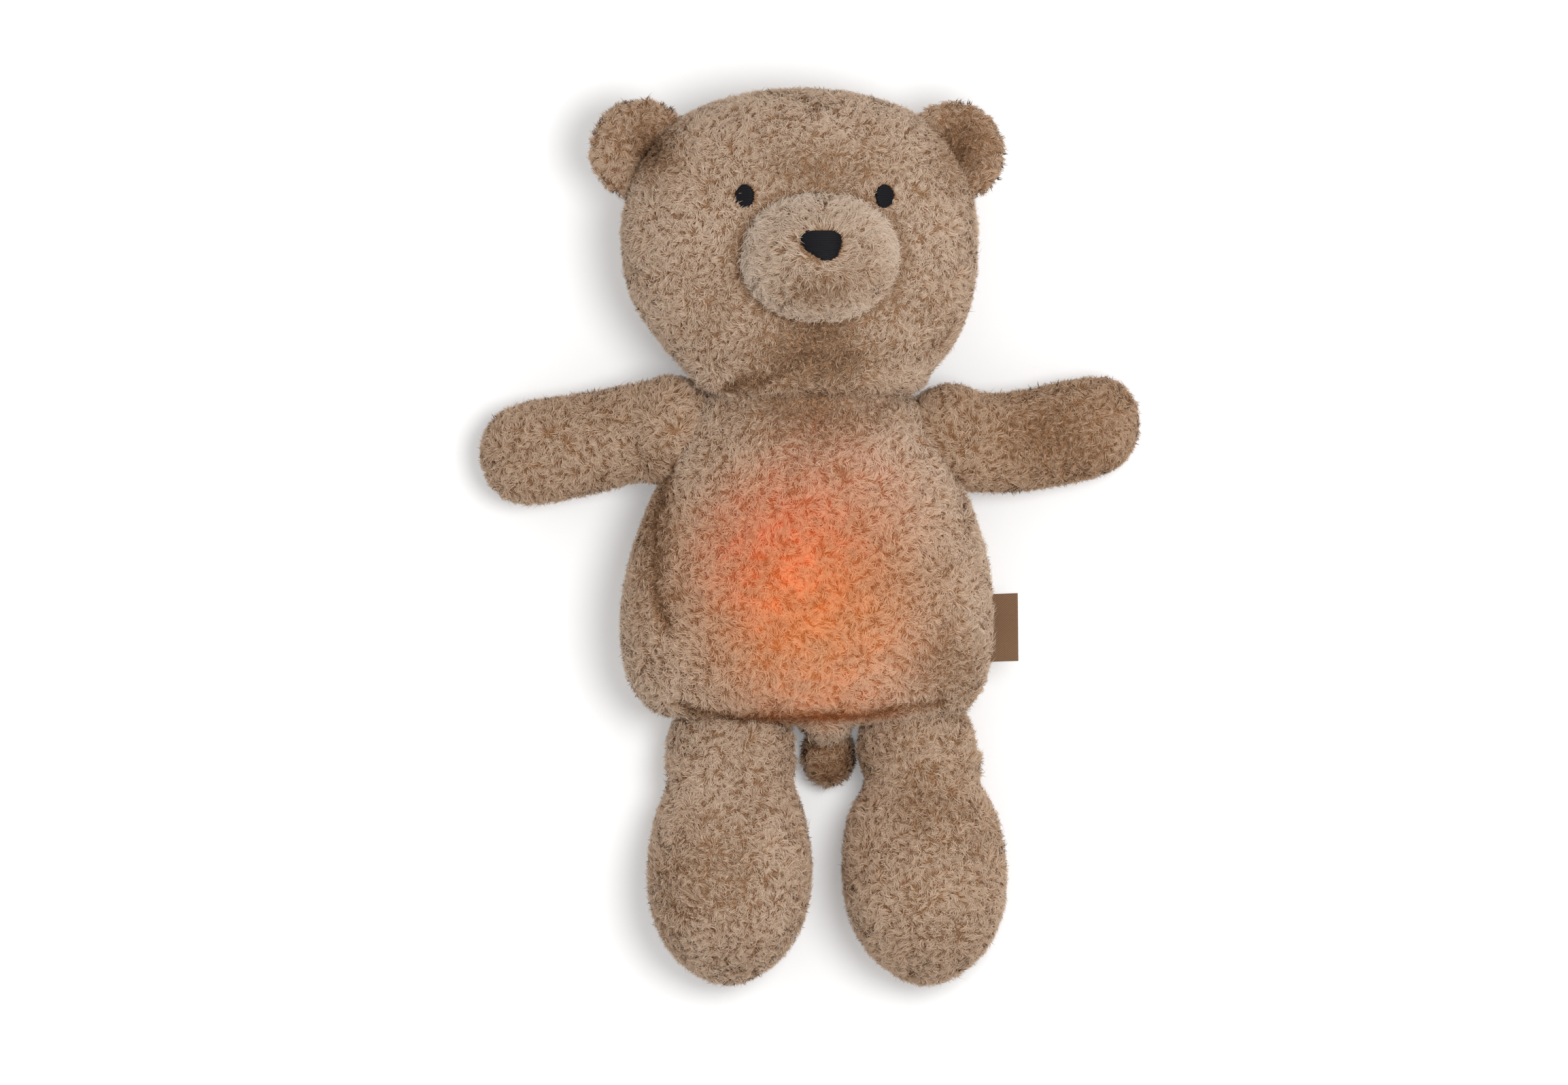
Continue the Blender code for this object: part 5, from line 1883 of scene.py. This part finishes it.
def battery_sleeve():
    """Shrunk sleeve in grey and amber over a steel can, which shows at both ends."""
    nodes = Nodes("battery_sleeve")
    low, high = corners("battery_1")
    share = nodes.span(nodes.coordinate(1), low[1], high[1])
    fine = nodes.noise(500.0, 3)
    dark = nodes.mix(fine, (0.035, 0.037, 0.042), (0.060, 0.062, 0.068))
    band = nodes.math("COMPARE", share, 0.74, 0.11)
    shade = nodes.mix(band, dark, (0.52, 0.25, 0.045))
    from_middle = nodes.math("ABSOLUTE", nodes.math("SUBTRACT", share, 0.5))
    bare = nodes.math("GREATER_THAN", from_middle, 0.465)
    shade = nodes.mix(bare, shade, (0.62, 0.62, 0.60))
    nodes.bump(fine, 0.00005, 0.4)
    rough = nodes.math("MULTIPLY_ADD", fine, 0.15, 0.25)
    return nodes.finish(Base_Color=shade, Roughness=rough, Metallic=bare)


def lit_lens(name, colour):
    """A lit diode: clear resin over its light, brightest towards the tip."""
    nodes = Nodes(name)
    low, high = corners(name)
    share = nodes.span(nodes.coordinate(2), low[2], high[2], low=0.15)
    light = nodes.mix(share, grey(0.0), colour)
    nodes.put(nodes.shader, "Emission Color", light)
    resin = nodes.mix(nodes.noise(300.0, 2), scaled(colour, 0.7), scaled(colour, 0.95))
    return nodes.finish(Base_Color=resin, Roughness=0.15, Emission_Strength=2.5, Coat_Weight=0.4)


def frosted_cap():
    """Frosted dome lit from inside, warmest over the diodes."""
    nodes = Nodes("frosted_cap")
    glow = bpy.context.scene.bear_glow
    diodes = {"led_coral": glow.coral, "led_orange": glow.orange, "led_amber": glow.amber}
    patches = [(colour, np.mean(corners(node), axis=0)[:2], 0.030) for node, colour in diodes.items()]
    light = lamp_light(nodes, patches)
    frost = nodes.noise(1500.0, 2)
    shade = nodes.mix(frost, (0.80, 0.72, 0.64), (0.90, 0.84, 0.78))
    nodes.put(nodes.shader, "Emission Color", light)
    nodes.bump(frost, 0.00005, 0.4)
    return nodes.finish(Base_Color=shade, Roughness=0.55, Emission_Strength=3.0, Subsurface_Weight=0.3)


def fastener_tape(name, colour, scale, depth):
    """Hook-and-loop tape: rows of hooks or a felt of loops on a woven ground."""
    nodes = Nodes(name)
    rows = nodes.cells(scale, "MANHATTAN")
    felt = nodes.noise(1600.0, 3)
    height = nodes.math("MULTIPLY_ADD", rows, 0.7, nodes.math("MULTIPLY", felt, 0.3))
    shade = nodes.mix(height, scaled(colour, 0.55), scaled(colour, 1.15))
    nodes.bump(height, depth, 0.9)
    return nodes.finish(Base_Color=shade, Roughness=0.85, Sheen_Weight=0.3)


class BEAR_OT_lamp(PlushOperator, bpy.types.Operator):
    """Finishes of the lamp in the pocket and of its fastener"""
    bl_idname = "bear.lamp"
    bl_label = "Lamp"

    def execute(self, context):
        shell = moulded("shell_plastic", (0.74, 0.72, 0.68))
        steel = drawn_steel("spring_steel", (0.62, 0.61, 0.59))
        screw = drawn_steel("screw_steel", (0.50, 0.50, 0.49), 0.34)
        contact = drawn_steel("contact_plate", (0.70, 0.67, 0.58), 0.25)
        sleeve = battery_sleeve()
        finishes = {
            "rear_shell": shell,
            "battery_door": moulded("door_plastic", (0.70, 0.68, 0.64), 0.5),
            "front_ring": moulded("ring_plastic", (0.76, 0.74, 0.70), 0.4),
            "switch_plunger": moulded("plunger_plastic", (0.70, 0.12, 0.06)),
            "power_switch": moulded("switch_body", (0.03, 0.03, 0.033), 0.4),
            "circuit_board": circuit_lacquer(),
            "light_cap": frosted_cap(),
            "led_coral": lit_lens("led_coral", (0.95, 0.13, 0.05)),
            "led_orange": lit_lens("led_orange", (0.95, 0.26, 0.03)),
            "led_amber": lit_lens("led_amber", (0.95, 0.42, 0.04)),
            "hook_strip": fastener_tape("hook_tape", (0.40, 0.29, 0.20), 900.0, 0.0004),
            "loop_strip": fastener_tape("loop_tape", (0.46, 0.35, 0.25), 1500.0, 0.0003),
            "cap_spring": steel,
            "door_screw": screw,
        }
        for number in (1, 2, 3):
            finishes[f"battery_{number}"] = sleeve
            finishes[f"battery_spring_{number}"] = steel
            finishes[f"battery_contact_{number}"] = contact
            finishes[f"ring_screw_{number}"] = screw
        for node, finish in finishes.items():
            for slot in frame["nodes"][node].material_slots:
                slot.material = finish
        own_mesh(frame["nodes"]["cap_spring"])
        return {"FINISHED"}


# Stage

floor_reach = 12.0
floor_glow = 0.22
key_place = (0.31, 0.07, 1.2)
key_size = 0.5
sensor_width = 36.0


def seen_directly(nodes):
    """1 for rays from the camera and for those off metal or through glass, otherwise 0."""
    path = nodes.add("LightPath").outputs
    bent = nodes.math("MAXIMUM", path["Is Glossy Ray"], path["Is Transmission Ray"])
    return nodes.math("MAXIMUM", path["Is Camera Ray"], bent)


class BEAR_OT_stage(PlushOperator, bpy.types.Operator):
    """Pale floor, soft lights and the camera straight above"""
    bl_idname = "bear.stage"
    bl_label = "Stage"

    def execute(self, context):
        stage = context.scene.bear_stage
        scene = context.scene
        scene.view_settings.view_transform = "Standard"
        nodes = Nodes("floor_paper")
        level = seen_directly(nodes)
        nodes.put(nodes.shader, "Emission Color", (1, 1, 1, 1))
        nodes.put(nodes.shader, "Emission Strength", nodes.math("MULTIPLY", level, floor_glow))
        paper = nodes.finish(Base_Color=(0.9, 0.9, 0.9, 1), Roughness=0.9)
        mesh = bpy.data.meshes.new("floor")
        rim = [(floor_reach * x, floor_reach * y, 0) for x, y in ((-1, -1), (1, -1), (1, 1), (-1, 1))]
        mesh.from_pydata(rim, [], [(0, 1, 2, 3)])
        placed("floor", mesh, paper)
        world = bpy.data.worlds.new("room")
        world.use_nodes = True
        room = Nodes.on(world.node_tree, world.node_tree.nodes["Background"])
        room.put(room.shader, "Color", (1, 1, 1, 1))
        brighter = room.math("MULTIPLY", seen_directly(room), 1 - stage.fill_level)
        room.put(room.shader, "Strength", room.math("ADD", brighter, stage.fill_level))
        scene.world = world
        middle = Vector(stage.middle)
        key = bpy.data.lights.new("key", "AREA")
        key.shape = "DISK"
        key.size = key_size
        key.energy = stage.key_power
        lamp = bpy.data.objects.new("key", key)
        lamp.location = middle + Vector(key_place)
        lamp.rotation_euler = (middle - lamp.location).to_track_quat("-Z", "Y").to_euler()
        scene.collection.objects.link(lamp)
        camera = bpy.data.cameras.new("camera")
        camera.lens = stage.lens
        camera.sensor_width = sensor_width
        distance = stage.picture_span * stage.lens / sensor_width
        view = bpy.data.objects.new("camera", camera)
        view.location = middle + Vector((0, 0, distance))
        scene.collection.objects.link(view)
        scene.camera = view
        return {"FINISHED"}


class BEAR_PT_panel(bpy.types.Panel):
    """Lists the pieces of the bear"""
    bl_label = "Plush bear"
    bl_idname = "BEAR_PT_panel"
    bl_space_type = "VIEW_3D"
    bl_region_type = "UI"
    bl_category = "Plush"

    def draw(self, context):
        for operator in operators:
            self.layout.operator(operator.bl_idname)


operators = (
    BEAR_OT_lamp,
    BEAR_OT_pocket,
    BEAR_OT_body,
    BEAR_OT_head,
    BEAR_OT_muzzle,
    BEAR_OT_ears,
    BEAR_OT_arms,
    BEAR_OT_legs,
    BEAR_OT_tail,
    BEAR_OT_embroidery,
    BEAR_OT_label,
    BEAR_OT_stage,
)
groups = {"bear_pile": BearPile, "bear_glow": BearGlow, "bear_stage": BearStage}


def register():
    for item in (*groups.values(), *operators, BEAR_PT_panel):
        bpy.utils.register_class(item)
    for name, group in groups.items():
        setattr(bpy.types.Scene, name, PointerProperty(type=group))


def unregister():
    for name in groups:
        delattr(bpy.types.Scene, name)
    for item in reversed((*groups.values(), *operators, BEAR_PT_panel)):
        bpy.utils.unregister_class(item)


def main():
    register()
    for operator in operators:
        group, name = operator.bl_idname.split(".")
        getattr(getattr(bpy.ops, group), name)()


if __name__ == "__main__":
    main()
